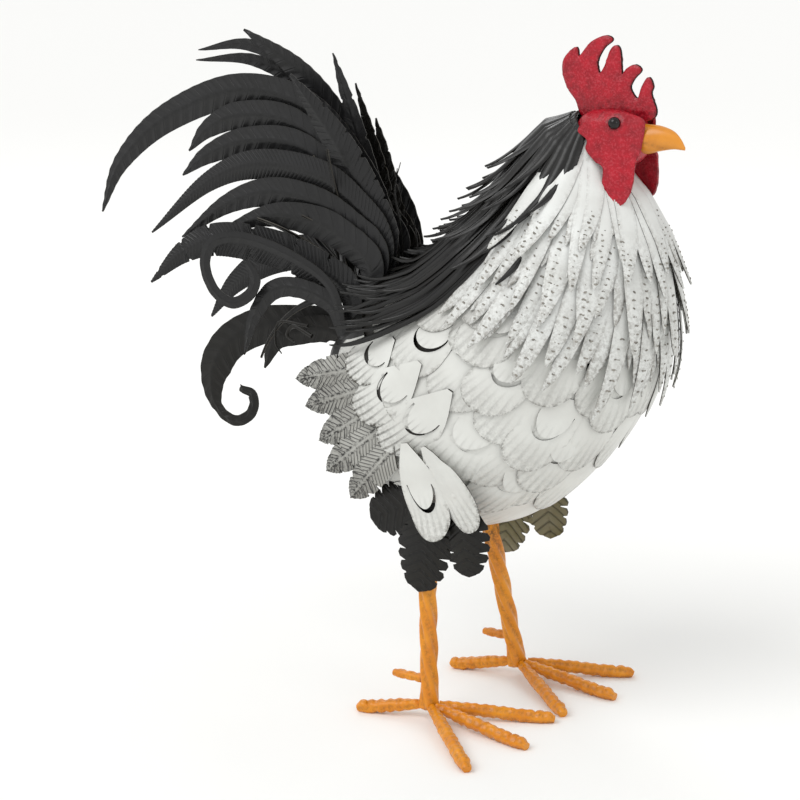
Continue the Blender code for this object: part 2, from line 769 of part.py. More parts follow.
def make_thigh_plates(side):
    """Two oval plates that hang over the top of the leg, joined where they are riveted."""
    sign = -1 if side == "right" else 1
    top, waist, joint = 0.2580, 0.2200, 0.0330
    ovals = ((-0.0200, 0.0130, 0.1808), (0.0690, 0.0520, 0.1955))

    def place(plate, level, across):
        outer, tip_x, tip_z = ovals[plate]
        share = (across + 1) / 2 if plate == 0 else (1 - across) / 2
        if level < 0.5:
            edge = joint + (outer - joint) * (0.55 + 0.45 * ramp(level, 0, 0.4) ** 0.6)
            x = edge + (joint - edge) * share
            z = top + (waist - top) * level / 0.4 - 0.012 * (1 - share) * (1 - level / 0.4)
        else:
            along = ramp(level, 0.4, 1.0)
            round_off = math.sqrt(max(1 - along ** 2.6, 0.015))
            middle = (outer + joint) / 2 + (tip_x - (outer + joint) / 2) * along
            half = abs(joint - outer) / 2 * round_off
            x = middle + half * across
            z = waist + (tip_z - waist) * along
        return Vector((x + THIGH_SHIFT[side], sign * thigh_depth(z), z))

    levels = (0, 0.4, 0.65, 0.85, 1.0)
    return tongues(f"thigh_plates_{side}", place, 2, levels, 3, "white_enamel")


def serrated_lobe(root, tip, width, teeth):
    """The outer part of one jagged leaf: down its left edge, round its tip and back up its right edge."""
    root, tip = Vector(root), Vector(tip)
    way = tip - root
    side_way = Vector((-way.y, way.x)).normalized()
    start = 0.45
    left, right = [], []
    for k in range(teeth):
        s = start + (0.94 - start) * k / (teeth - 1)
        half = width / 2 * math.sqrt(1 - s ** 4)
        for step, share in ((0.0, 1.0), (0.3 * (1 - start) / teeth, 0.8)):
            spot = root + way * (s + step)
            left.append(spot - side_way * half * share)
            right.append(spot + side_way * half * share)
    return left + [tip] + right[::-1]


def make_thigh_leaves(side):
    """Three jagged black leaves cut from one sheet, hanging behind the thigh plates."""
    sign = -1 if side == "right" else 1
    y = sign * (thigh_depth(0) - SHEET - GAP)
    lobes = (
        ((-0.004, 0.214), (-0.0600, 0.1890), 0.044, 3),
        ((0.003, 0.215), (-0.0080, 0.1270), 0.046, 4),
        ((0.036, 0.214), (0.0450, 0.1500), 0.042, 3),
    )
    outline = [(-0.010, 0.216)]
    for root, tip, width, teeth in lobes:
        outline += [tuple(p) for p in serrated_lobe(root, tip, width, teeth)]
    outline.append((0.048, 0.216))
    bm = bmesh.new()
    bm.faces.new([bm.verts.new((x + THIGH_SHIFT[side], y, z - LEAF_DROP[side])) for x, z in outline])
    return thicken(new_object(f"thigh_leaves_{side}", bm, "black_enamel"), SHEET)


# Tail blades: name, layer from the middle (right is negative), widest place's width, where on
# the back it is rooted (body stations), and the course of its middle line from root to tip
TAIL = (
    ("tail_spear_top", 0.6, 0.034, 5.3,
     ((-0.102, 0.433), (-0.129, 0.484), (-0.158, 0.534), (-0.202, 0.580), (-0.264, 0.615))),
    ("tail_thin_upper", 1.7, 0.017, 5.4,
     ((-0.110, 0.440), (-0.155, 0.525), (-0.205, 0.580), (-0.265, 0.600), (-0.324, 0.592))),
    ("tail_thin_lower", 2.8, 0.017, 5.6,
     ((-0.110, 0.435), (-0.155, 0.512), (-0.205, 0.562), (-0.265, 0.585), (-0.333, 0.581))),
    ("tail_sickle_long", -2.2, 0.033, 5.3,
     ((-0.094, 0.430), (-0.122, 0.490), (-0.180, 0.547), (-0.260, 0.559), (-0.345, 0.527), (-0.401, 0.480), (-0.426, 0.429))),
    ("tail_sickle_second", -3.3, 0.030, 5.5,
     ((-0.092, 0.425), (-0.130, 0.484), (-0.190, 0.532), (-0.250, 0.537), (-0.289, 0.522), (-0.312, 0.499))),
    ("tail_sickle_third", -4.4, 0.030, 5.7,
     ((-0.090, 0.420), (-0.126, 0.472), (-0.180, 0.512), (-0.239, 0.514), (-0.285, 0.498), (-0.315, 0.476))),
    ("tail_blade_oval", -5.5, 0.039, 5.2,
     ((-0.091, 0.440), (-0.110, 0.479), (-0.139, 0.526), (-0.184, 0.581))),
    ("tail_sickle_fourth", -6.6, 0.031, 5.9,
     ((-0.085, 0.430), (-0.116, 0.468), (-0.154, 0.490), (-0.220, 0.495), (-0.276, 0.474), (-0.342, 0.420))),
    ("tail_sickle_fifth", -7.7, 0.031, 6.1,
     ((-0.087, 0.420), (-0.116, 0.446), (-0.150, 0.464), (-0.201, 0.471), (-0.250, 0.456), (-0.302, 0.420))),
    ("tail_leaf", -8.8, 0.032, 6.4,
     ((-0.092, 0.411), (-0.120, 0.436), (-0.150, 0.448), (-0.198, 0.450), (-0.254, 0.431))),
    ("tail_herringbone", -9.9, 0.036, 7.0,
     ((-0.112, 0.385), (-0.140, 0.403), (-0.185, 0.419), (-0.249, 0.424), (-0.290, 0.409), (-0.328, 0.376))),
    ("tail_upright_front", -0.5, 0.021, 5.3,
     ((-0.084, 0.430), (-0.108, 0.460), (-0.124, 0.505), (-0.142, 0.555), (-0.158, 0.599))),
    ("tail_upright_middle", 3.9, 0.019, 5.2,
     ((-0.090, 0.427), (-0.112, 0.456), (-0.126, 0.502), (-0.151, 0.569))),
    ("tail_upright_rear", 5.0, 0.017, 5.1,
     ((-0.088, 0.426), (-0.108, 0.458), (-0.121, 0.502), (-0.132, 0.537))),
    ("tail_sickle_small", -11.0, 0.019, 7.6,
     ((-0.128, 0.374), (-0.162, 0.386), (-0.190, 0.381), (-0.210, 0.354), (-0.220, 0.317))),
    ("tail_loop_curl", -12.1, 0.0105, 7.3,
     ((-0.125, 0.392), (-0.165, 0.417), (-0.215, 0.430), (-0.248, 0.424), (-0.258, 0.402),
      (-0.249, 0.378), (-0.230, 0.367), (-0.211, 0.376), (-0.204, 0.392), (-0.212, 0.407))),
    ("tail_hook_curl", -3.0, 0.036, 8.2,
     ((-0.145, 0.352), (-0.192, 0.345), (-0.238, 0.333), (-0.272, 0.313), (-0.290, 0.284),
      (-0.290, 0.257), (-0.278, 0.241), (-0.261, 0.237), (-0.245, 0.248), (-0.244, 0.265), (-0.259, 0.270))),
    ("tail_band_lower", -5.5, 0.026, 8.8,
     ((-0.150, 0.343), (-0.180, 0.338), (-0.206, 0.327), (-0.219, 0.298))),
    ("tail_sickle_far", 6.1, 0.032, 5.6,
     ((-0.092, 0.428), (-0.130, 0.484), (-0.190, 0.530), (-0.250, 0.528), (-0.296, 0.500), (-0.326, 0.466))),
    ("tail_herringbone_far", 7.2, 0.034, 6.6,
     ((-0.112, 0.383), (-0.150, 0.398), (-0.203, 0.402), (-0.262, 0.388), (-0.310, 0.358), (-0.342, 0.320))),
)
CURLS = {"tail_loop_curl": 0.0, "tail_hook_curl": 0.58}
CURL_WIDTH = 0.0110


def tail_y(layer, x, z):
    """Blades keep to their own layer, and the layers fan apart towards the tips."""
    reach = math.hypot(x - TAIL_CENTRE[0], z - TAIL_CENTRE[1])
    return layer * TAIL_LAYER * (1 + TAIL_FAN * reach)


def blade_width(name, width, s):
    if name in CURLS:
        full = width + (CURL_WIDTH - width) * ramp(s, CURLS[name] * 0.75, CURLS[name] + 0.01)
        return full * (1 - 0.4 * ramp(s, 0.9, 1))
    return width * (1 - 0.94 * ramp(s, 0.5, 1) ** 2.1)


def root_spot(layer, t):
    """Where a layer meets the back of the body."""
    y = layer * TAIL_LAYER
    turn = 180 - math.degrees(math.asin(min(abs(y) / half_width(t), 0.95)))
    return body_point(t, math.copysign(turn, y))


def make_tail_blade(name, layer, width, rooted, course, shell):
    """A folded sheet blade: a ridge down the middle and two sloping halves."""
    root = root_spot(layer, rooted)
    line = [Vector((root.x, root.z)), *(Vector(p) for p in course)]
    stations = BLADE_STATIONS + 8 * (name in CURLS)
    spans = len(line) - 1
    spots = [catmull(line, spans * k / stations) for k in range(stations + 1)]
    side = -1 if layer < 0 else 1
    bm = bmesh.new()
    rows = []
    for k, spot in enumerate(spots):
        s = k / stations
        way = (spots[min(k + 1, stations)] - spots[max(k - 1, 0)]).normalized()
        across = Vector((-way.y, way.x))
        half = blade_width(name, width, s) / 2
        half = TAIL_STEM / 2 + (half - TAIL_STEM / 2) * ramp(s, 0.0, 0.24)
        fold = half * math.tan(math.radians(TAIL_FOLD))
        row = []
        for share in (-1, 0, 1):
            x, z = spot + across * half * share
            y = tail_y(layer, x, z) + side * (fold * (1 - abs(share)) - fold / 2)
            point = Vector((x, y, z))
            if s < 0.35:
                near, normal, _, _ = shell.find_nearest(point)
                depth = (point - near).dot(normal)
                point += normal * max(SHEET / 2 + 2 * GAP - depth, 0)
            row.append(bm.verts.new(point))
        rows.append(row)
    for near, far in zip(rows, rows[1:]):
        for k in range(2):
            bm.faces.new((near[k], near[k + 1], far[k + 1], far[k]))
    bmesh.ops.recalc_face_normals(bm, faces=bm.faces)
    return thicken(new_object(name, bm, "charcoal_enamel"), SHEET)


def build():
    clear_scene()
    body = make_body()
    cutter = head_cutter()
    pieces = [body, make_head(), make_comb(cutter), make_beak(cutter)]
    rows = [make_plate_row(row) for row in range(ROW_COUNT)]
    pieces += rows
    pieces += [make_hackle(collar) for collar in range(len(HACKLE_ROOTS))]
    pieces += [make_nape(), make_saddle()]
    cover = tree_of([body, *rows])
    shell = tree_of([body])
    for side in ("right", "left"):
        pieces += [make_face(side), make_eye(side)]
        pieces += [make_leg(side, cover), make_spur(side)]
        pieces += [make_toe(side, toe) for toe in TOES[side]]
        pieces += [make_coverts(side), make_flights(side)]
        pieces += [make_thigh_plates(side), make_thigh_leaves(side)]
    pieces += [make_tail_blade(*blade, shell) for blade in TAIL]
    return pieces, cutter


def centre_on_origin(pieces, cutter):
    """Shifts everything so that the bottom centre of the whole box is the origin."""
    bpy.context.view_layer.update()
    graph = bpy.context.evaluated_depsgraph_get()
    corners = []
    for obj in pieces:
        mesh = obj.evaluated_get(graph).to_mesh()
        corners += [v.co.copy() for v in mesh.vertices]
    low = [min(c[k] for c in corners) for k in range(3)]
    high = [max(c[k] for c in corners) for k in range(3)]
    anchor = bpy.data.objects.new("rooster", None)
    bpy.context.scene.collection.objects.link(anchor)
    anchor.location = (-(low[0] + high[0]) / 2, -(low[1] + high[1]) / 2, -low[2])
    for obj in [*pieces, cutter]:
        obj.parent = anchor


centre_on_origin(*build())
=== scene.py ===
"""A painted sheet-metal garden rooster, finished in the order in which it is put together."""

import math

import bmesh
import bpy
import numpy as np
from mathutils import Matrix, Vector
from mathutils.geometry import delaunay_2d_cdt


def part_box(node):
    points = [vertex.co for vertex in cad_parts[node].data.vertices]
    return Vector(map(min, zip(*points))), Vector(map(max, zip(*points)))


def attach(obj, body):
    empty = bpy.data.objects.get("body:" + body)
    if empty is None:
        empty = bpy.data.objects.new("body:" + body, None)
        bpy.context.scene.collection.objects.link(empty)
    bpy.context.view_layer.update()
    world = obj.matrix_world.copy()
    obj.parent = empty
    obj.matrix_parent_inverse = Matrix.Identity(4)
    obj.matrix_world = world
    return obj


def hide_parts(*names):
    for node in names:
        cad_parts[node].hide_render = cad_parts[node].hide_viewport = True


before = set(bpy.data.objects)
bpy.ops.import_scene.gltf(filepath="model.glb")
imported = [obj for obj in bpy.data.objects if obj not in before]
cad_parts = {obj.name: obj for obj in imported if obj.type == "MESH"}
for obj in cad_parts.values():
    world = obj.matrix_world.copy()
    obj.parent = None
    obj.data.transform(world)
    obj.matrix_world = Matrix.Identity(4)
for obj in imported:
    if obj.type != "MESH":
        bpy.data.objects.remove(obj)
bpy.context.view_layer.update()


# Studio
# A pale paper floor under broad soft lights. The camera stands where the photograph was
# taken from: 32 degrees round to the right of the breast and 14 degrees above level.
def paint(code):
    """An sRGB hex colour as linear RGBA."""
    parts = [int(code[k:k + 2], 16) / 255 for k in (0, 2, 4)]
    return (*(c / 12.92 if c <= 0.04045 else ((c + 0.055) / 1.055) ** 2.4 for c in parts), 1.0)


def add(tree, kind, sockets=None, **settings):
    """Adds a node with its settings; a socket takes another node's output or a plain value."""
    node = tree.nodes.new(kind)
    for key, value in settings.items():
        setattr(node, key, value)
    for key, value in (sockets or {}).items():
        if isinstance(value, bpy.types.NodeSocket):
            tree.links.new(value, node.inputs[key])
        else:
            node.inputs[key].default_value = value
    return node


def link(obj):
    bpy.context.scene.collection.objects.link(obj)
    return obj


def new_finish(name, roughness, metallic=0.0, coat=0.0, specular=0.5):
    """A material with its surface shader, whose plain numbers sit on the shader itself."""
    material = bpy.data.materials.new(name)
    material.use_nodes = True
    shader = material.node_tree.nodes["Principled BSDF"]
    shader.inputs["Specular IOR Level"].default_value = specular
    shader.inputs["Roughness"].default_value = roughness
    shader.inputs["Metallic"].default_value = metallic
    shader.inputs["Coat Weight"].default_value = coat
    shader.inputs["Coat Roughness"].default_value = 0.25
    return material, material.node_tree, shader


FLOOR_HALF = 14.0
floor_mesh = bpy.data.meshes.new("floor")
floor_corners = [(-FLOOR_HALF, -FLOOR_HALF), (FLOOR_HALF, -FLOOR_HALF), (FLOOR_HALF, FLOOR_HALF), (-FLOOR_HALF, FLOOR_HALF)]
floor_mesh.from_pydata([(x, y, -0.0002) for x, y in floor_corners], [], [(0, 1, 2, 3)])
paper, paper_tree, paper_shader = new_finish("matt_paper", 0.95)
paper_grain = add(paper_tree, "ShaderNodeTexNoise", {"Scale": 3.0})
paper_tone = add(
    paper_tree, "ShaderNodeMix",
    {0: paper_grain.outputs[0], 6: paint("F6F6F4"), 7: paint("F2F2F0")}, data_type="RGBA",
)
paper_tree.links.new(paper_tone.outputs[2], paper_shader.inputs["Base Color"])
floor_mesh.materials.append(paper)
floor = link(bpy.data.objects.new("floor", floor_mesh))

world = bpy.data.worlds.new("soft_room")
bpy.context.scene.world = world
world.use_nodes = True
world.node_tree.nodes["Background"].inputs["Color"].default_value = paint("FFFFFF")
world.node_tree.nodes["Background"].inputs["Strength"].default_value = 0.80
bpy.context.scene.view_settings.view_transform = "Standard"


def shine(name, kind, place, energy, **settings):
    """A lamp that faces the middle of the rooster."""
    lamp = bpy.data.lights.new(name, kind)
    lamp.energy = energy
    for key, value in settings.items():
        setattr(lamp, key, value)
    obj = link(bpy.data.objects.new(name, lamp))
    obj.location = place
    obj.rotation_euler = (Vector((0, 0, 0.32)) - Vector(place)).to_track_quat("-Z", "Y").to_euler()


shine("key_light", "SUN", (-0.9, -2.2, 3.0), 1.15, angle=math.radians(38))
shine("fill_light", "AREA", (2.6, -0.8, 1.5), 6, size=1.2)
shine("back_light", "AREA", (-1.6, 1.6, 2.4), 12, size=1.0)

CAMERA_TARGET = Vector((0.055537, -0.021525, 0.290675))
CAMERA_TURN = math.radians(32)
CAMERA_LIFT = math.radians(14)
CAMERA_DISTANCE = 2.2
camera_back = Vector((
    math.sin(CAMERA_TURN) * math.cos(CAMERA_LIFT),
    -math.cos(CAMERA_TURN) * math.cos(CAMERA_LIFT),
    math.sin(CAMERA_LIFT),
))
camera_data = bpy.data.cameras.new("portrait")
camera_data.sensor_width = 36
camera_data.lens = 107.6
camera = link(bpy.data.objects.new("portrait", camera_data))
camera.location = CAMERA_TARGET + camera_back * CAMERA_DISTANCE
camera.rotation_euler = (-camera_back).to_track_quat("-Z", "Y").to_euler()
bpy.context.scene.camera = camera


# Core of the body
# A closed black-enamelled sheet form that everything else is welded to. It shows only as the
# dark in the slits of the plates and under the tail.
STATIONS = np.array((
    (0.083, 0.557, 0.141, 0.514, 0.027),
    (0.054, 0.526, 0.162, 0.470, 0.044),
    (0.022, 0.483, 0.174, 0.425, 0.066),
    (-0.012, 0.444, 0.178, 0.375, 0.087),
    (-0.048, 0.414, 0.169, 0.324, 0.102),
    (-0.080, 0.394, 0.141, 0.274, 0.109),
    (-0.103, 0.378, 0.100, 0.226, 0.111),
    (-0.118, 0.364, 0.053, 0.192, 0.107),
    (-0.128, 0.350, 0.002, 0.180, 0.097),
    (-0.136, 0.336, -0.046, 0.190, 0.082),
    (-0.142, 0.322, -0.088, 0.214, 0.062),
    (-0.146, 0.308, -0.120, 0.245, 0.038),
    (-0.148, 0.294, -0.138, 0.272, 0.012),
))
SHEET = 0.0010
chance = np.random.default_rng(11)


def smooth_course(points, t):
    """A smooth curve through the points, one unit of t from each to the next."""
    points = np.asarray(points, float)
    t = np.asarray(t, float)
    last = len(points) - 1
    i = np.clip(np.floor(t).astype(int), 0, last - 1)
    u = (t - i)[..., None]
    p1, p2 = points[i], points[i + 1]
    p0 = np.where((i > 0)[..., None], points[np.maximum(i - 1, 0)], 2 * p1 - p2)
    p3 = np.where((i + 2 <= last)[..., None], points[np.minimum(i + 2, last)], 2 * p2 - p1)
    return 0.5 * (
        2 * p1 + (p2 - p0) * u
        + (2 * p0 - 5 * p1 + 4 * p2 - p3) * u ** 2
        + (3 * p1 - p0 - 3 * p2 + p3) * u ** 3
    )


def body_form(t, turn):
    """The body: t runs from throat to rump, turn from breast (0) to back (180), right side negative."""
    t, turn = np.broadcast_arrays(np.asarray(t, float), np.asarray(turn, float))
    station = smooth_course(STATIONS, t)
    angle = np.radians(turn)
    x = (station[..., 0] + station[..., 2]) / 2 + (station[..., 2] - station[..., 0]) / 2 * np.cos(angle)
    z = (station[..., 1] + station[..., 3]) / 2 + (station[..., 3] - station[..., 1]) / 2 * np.cos(angle)
    return np.stack((x, station[..., 4] * np.sin(angle), z), -1)


def on_body(t, turn, lift):
    t, turn = np.broadcast_arrays(np.asarray(t, float), np.asarray(turn, float))
    along = body_form(t + 0.02, turn) - body_form(t - 0.02, turn)
    around = body_form(t, turn + 2) - body_form(t, turn - 2)
    normal = np.cross(along, around)
    normal /= np.linalg.norm(normal, axis=-1, keepdims=True)
    return body_form(t, turn) + normal * np.asarray(lift, float)[..., None]


def ramp(x, low, high):
    return np.clip((np.asarray(x, float) - low) / (high - low), 0, 1)


CORE_INSET = 0.0006
core_rings, core_sides = np.arange(13.0), np.arange(0, 360, 15.0)
core_corner = on_body(core_rings[:, None], core_sides[None], np.float64(-CORE_INSET)).reshape(-1, 3).min(0)
PLACE = np.array(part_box("body_shell")[0]) - core_corner


def make_mesh(name, points, faces, finishes, **marks):
    """An object from points in the rooster's own frame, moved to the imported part's frame."""
    mesh = bpy.data.meshes.new(name)
    mesh.from_pydata((np.asarray(points, float) + PLACE).tolist(), [], faces)
    for key, values in marks.items():
        kind = "FLOAT_VECTOR" if np.ndim(values) == 2 else "FLOAT"
        layer = mesh.attributes.new(key, kind, "POINT")
        layer.data.foreach_set("vector" if kind == "FLOAT_VECTOR" else "value", np.asarray(values, np.float32).ravel())
    for finish in finishes:
        mesh.materials.append(finish)
    return link(bpy.data.objects.new(name, mesh))


def make_plain(obj, sharp=48):
    """Turns the object with its modifiers into one plain smooth-shaded mesh."""
    bpy.context.view_layer.update()
    graph = bpy.context.evaluated_depsgraph_get()
    mesh = bpy.data.meshes.new_from_object(obj.evaluated_get(graph), preserve_all_data_layers=True, depsgraph=graph)
    obj.modifiers.clear()
    obj.data = mesh
    mesh.shade_smooth()
    mesh.set_sharp_from_angle(angle=math.radians(sharp))
    return obj


def fit(obj, slot, *nodes):
    """The piece rides on the part and stands for its solids; its slot argument is not used."""
    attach(obj, "root")
    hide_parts(*nodes)
    return obj


def grid_faces(rows, columns, wrap=False):
    reach = columns if wrap else columns - 1
    return [
        (r * columns + c, r * columns + (c + 1) % columns, (r + 1) * columns + (c + 1) % columns, (r + 1) * columns + c)
        for r in range(rows - 1) for c in range(reach)
    ]


def enamel(
    name, base, shade, wash, roughness, mottle=45.0, ripple=9.0, ribs=0.0, groove=0.30, stain=0.3,
    fleck=None, coat=0.0, metallic=0.0, specular=0.5,
):
    """Sprayed enamel over hammered sheet: a tone that drifts, dark wash in the hollows and ribs, and painted shade
    between the collar strips.

    mottle and ripple are the sizes in millimetres of the drift and of the dents. ribs is the depth
    in millimetres of the grooves that the attributes rib and press lay out, groove how wide and
    stain how dark they are. fleck is a colour, a grain in millimetres and how much of it shows.
    """
    material, tree, shader = new_finish(name, roughness, metallic, coat, specular)
    where = add(tree, "ShaderNodeTexCoord").outputs["Object"]
    drift = add(tree, "ShaderNodeTexNoise", {"Vector": where, "Scale": 1000 / mottle, "Detail": 4.0})
    spread = add(tree, "ShaderNodeMapRange", {0: drift.outputs[0], 1: 0.35, 2: 0.70})
    tone = add(tree, "ShaderNodeMix", {0: spread.outputs[0], 6: paint(base), 7: paint(shade)}, data_type="RGBA")
    dent = add(tree, "ShaderNodeTexNoise", {"Vector": where, "Scale": 1000 / ripple, "Detail": 2.0})
    shape = add(tree, "ShaderNodeBump", {"Strength": 0.30, "Distance": 0.0012, "Height": dent.outputs[0]})
    if fleck:
        grain = add(tree, "ShaderNodeTexNoise", {"Vector": where, "Scale": 1000 / fleck[1], "Detail": 2.0, "Roughness": 0.6})
        caught = add(tree, "ShaderNodeMapRange", {0: grain.outputs[0], 1: 0.50, 2: 0.63, 3: 0.0, 4: fleck[2]})
        tone = add(tree, "ShaderNodeMix", {0: caught.outputs[0], 6: tone.outputs[2], 7: paint(fleck[0])}, data_type="RGBA")
        shape = add(tree, "ShaderNodeBump", {
            "Strength": 0.55, "Distance": 0.0010, "Height": grain.outputs[0], "Normal": shape.outputs[0],
        })
    grit = add(tree, "ShaderNodeTexNoise", {"Vector": where, "Scale": 1000 / 3.2, "Detail": 3.0, "Roughness": 0.7})
    patchy = add(tree, "ShaderNodeMapRange", {0: grit.outputs[0], 1: 0.42, 2: 0.60, 3: 0.15, 4: 1.0})
    washed = add(tree, "ShaderNodeAttribute", attribute_name="wash").outputs["Fac"]
    pressed = add(tree, "ShaderNodeAttribute", attribute_name="press").outputs["Fac"]
    rib = add(tree, "ShaderNodeAttribute", attribute_name="rib").outputs["Fac"]
    wave = add(tree, "ShaderNodeMath", {0: rib, 1: 0.5}, operation="PINGPONG").outputs[0]
    furrow = add(tree, "ShaderNodeMapRange", {0: wave, 1: 0.0, 2: groove, 3: 1.0, 4: 0.0}, interpolation_type="SMOOTHSTEP")
    cut = add(tree, "ShaderNodeMath", {0: furrow.outputs[0], 1: pressed}, operation="MULTIPLY").outputs[0]
    # The dark colour each point asks for: wash on most pieces, painted shade on the collar lining and under strips.
    soiled_and_shaded = add(tree, "ShaderNodeMath", {0: washed, 1: patchy.outputs[0]}, operation="MULTIPLY").outputs[0]
    dirt_and_shade = add(tree, "ShaderNodeMath", {0: cut, 1: stain, 2: soiled_and_shaded}, operation="MULTIPLY_ADD", use_clamp=True).outputs[0]
    colour = add(tree, "ShaderNodeMix", {0: dirt_and_shade, 6: tone.outputs[2], 7: paint(wash)}, data_type="RGBA")
    tree.links.new(colour.outputs[2], shader.inputs["Base Color"])
    if ribs:
        depth = add(tree, "ShaderNodeMath", {0: cut, 1: -ribs / 1000}, operation="MULTIPLY").outputs[0]
        shape = add(tree, "ShaderNodeBump", {"Strength": 1.0, "Distance": 1.0, "Height": depth, "Normal": shape.outputs[0]})
    tree.links.new(shape.outputs[0], shader.inputs["Normal"])
    return material


# Black enamel brushed inside and under everything: nearly matt, a little brown where it is thin. The same black is the
# painted shadow behind the shoulder slits.
core_and_shadow_black = enamel("black_enamel_core_and_shadow", "16140F", "221E17", "0D0C0A", 0.55)
core_t, core_turn = np.linspace(0, 12, 61), np.arange(0, 360, 7.5)
core_points = on_body(core_t[:, None], core_turn[None], np.float64(-CORE_INSET))
core_faces = grid_faces(len(core_t), len(core_turn), wrap=True)
core_faces.append(tuple(reversed(range(len(core_turn)))))
core_faces.append(tuple(range((len(core_t) - 1) * len(core_turn), len(core_t) * len(core_turn))))
core = make_mesh("body_core", core_points.reshape(-1, 3), core_faces, [core_and_shadow_black])
fit(make_plain(core), "black_enamel", "body_shell")


# Feather plates of the breast and belly
# Oval shingles of white-enamelled sheet, pressed with a fan of ribs at the tip and welded on in
# rows from the belly up. Some carry a tongue cut free by a U-shaped slit and bent outwards.
def blank():
    """An empty stack that collects cut sheets which are then pressed as one piece."""
    return {"points": [], "faces": [], "wash": [], "rib": [], "press": []}


def lay(stack, points, faces, wash, rib, press):
    start = len(stack["points"])
    stack["points"].extend(points)
    stack["faces"].extend(tuple(start + k for k in face) for face in faces)
    for key, values in (("wash", wash), ("rib", rib), ("press", press)):
        stack[key].extend(np.broadcast_to(values, len(points)))


def lay_grid(stack, points, wash, rib=0.0, press=0.0):
    rows, columns = points.shape[:2]
    flat = [np.broadcast_to(values, (rows, columns)).ravel() for values in (wash, rib, press)]
    lay(stack, points.reshape(-1, 3), grid_faces(rows, columns), *flat)


def press_sheet(name, stack, finish, edge, thickness=SHEET, tree=None, **inputs):
    """Gives the cut sheets their thickness, with a bare edge all round."""
    marks = {key: stack[key] for key in ("wash", "rib", "press")}
    obj = make_mesh(name, stack["points"], stack["faces"], [finish, edge], **marks)
    if tree:
        modifier = obj.modifiers.new("Press", "NODES")
        modifier.node_group = tree
        sockets = {s.name: s.identifier for s in tree.interface.items_tree if s.in_out == "INPUT"}
        for key, value in inputs.items():
            modifier[sockets[key]] = value
    solid = obj.modifiers.new("Sheet", "SOLIDIFY")
    solid.thickness = thickness
    solid.offset = 0.0
    solid.material_offset_rim = 1
    return make_plain(obj)


def inside(points, ring):
    """Whether each point lies inside the closed ring."""
    points, ring = np.asarray(points, float), np.asarray(ring, float)
    found = np.zeros(len(points), bool)
    for (x0, y0), (x1, y1) in zip(ring, np.roll(ring, -1, axis=0)):
        if y0 == y1:
            continue
        crosses = (points[:, 1] >= min(y0, y1)) & (points[:, 1] < max(y0, y1))
        found ^= crosses & (points[:, 0] < x0 + (points[:, 1] - y0) * (x1 - x0) / (y1 - y0))
    return found


def cut_sheet(outline, slits, spacing):
    """Points and triangles of a flat sheet with this outline and these slits."""
    rings = [np.asarray(outline, float), *(np.asarray(slit, float) for slit in slits)]
    low, high = rings[0].min(0), rings[0].max(0)
    xs = np.arange(low[0], high[0], spacing)
    ys = np.arange(low[1], high[1], spacing * 0.87)
    inner = np.array([(x + spacing / 2 * (k % 2), y) for k, y in enumerate(ys) for x in xs])
    keep = inside(inner, rings[0])
    for ring in rings[1:]:
        keep &= ~inside(inner, ring)
    border = np.concatenate(rings)
    gaps = np.linalg.norm(inner[:, None] - border[None], axis=-1).min(1)
    inner = inner[keep & (gaps > spacing * 0.5)]
    edges, start = [], 0
    for ring in rings:
        edges += [(start + k, start + (k + 1) % len(ring)) for k in range(len(ring))]
        start += len(ring)
    corners = [Vector(p) for p in np.concatenate((border, inner))]
    points, _, faces = delaunay_2d_cdt(corners, edges, [], 0, 1e-7)[:3]
    points = np.array([tuple(p) for p in points])
    centres = np.array([points[list(face)].mean(0) for face in faces])
    keep = inside(centres, rings[0])
    for ring in rings[1:]:
        keep &= ~inside(centres, ring)
    return points, [tuple(face) for face, kept in zip(faces, keep) if kept]


def oval(width, length, shoulder=0.58, waist=0.80, power=2.2, steps=13):
    """The outline of a feather plate: narrow at its root, round at its tip."""
    level = length * shoulder * np.linspace(0, 1, 7)[:-1]
    half = width / 2 * (waist + (1 - waist) * np.sin(level / (length * shoulder) * math.pi / 2))
    angle = np.linspace(0, math.pi / 2, steps)
    tip_half = width / 2 * np.cos(angle) ** (2 / power)
    tip_level = length * shoulder + length * (1 - shoulder) * np.sin(angle) ** (2 / power)
    right = [*zip(half, level), *zip(tip_half, tip_level)]
    left = [(-x, y) for x, y in reversed(right[:-1])]
    return right + left


def slit(width, middle, reach, gap, lean=0.0):
    """A U-shaped slit round a tongue, widest at the tongue's tip."""
    angle = np.radians(np.linspace(-98, 98, 19))
    wide = gap * (0.14 + 0.86 * np.cos(np.clip((angle - lean) * 0.85, -1.57, 1.57)) ** 2)
    outer = [(width / 2 * math.sin(a), middle + reach * math.cos(a)) for a in angle]
    inner = [((width / 2 - w) * math.sin(a), middle + (reach - w) * math.cos(a)) for a, w in zip(angle, wide)]
    return outer + inner[::-1]


def edge_gap(points, outline):
    ring = np.asarray(outline, float)
    return np.linalg.norm(points[:, None] - ring[None], axis=-1).min(1)


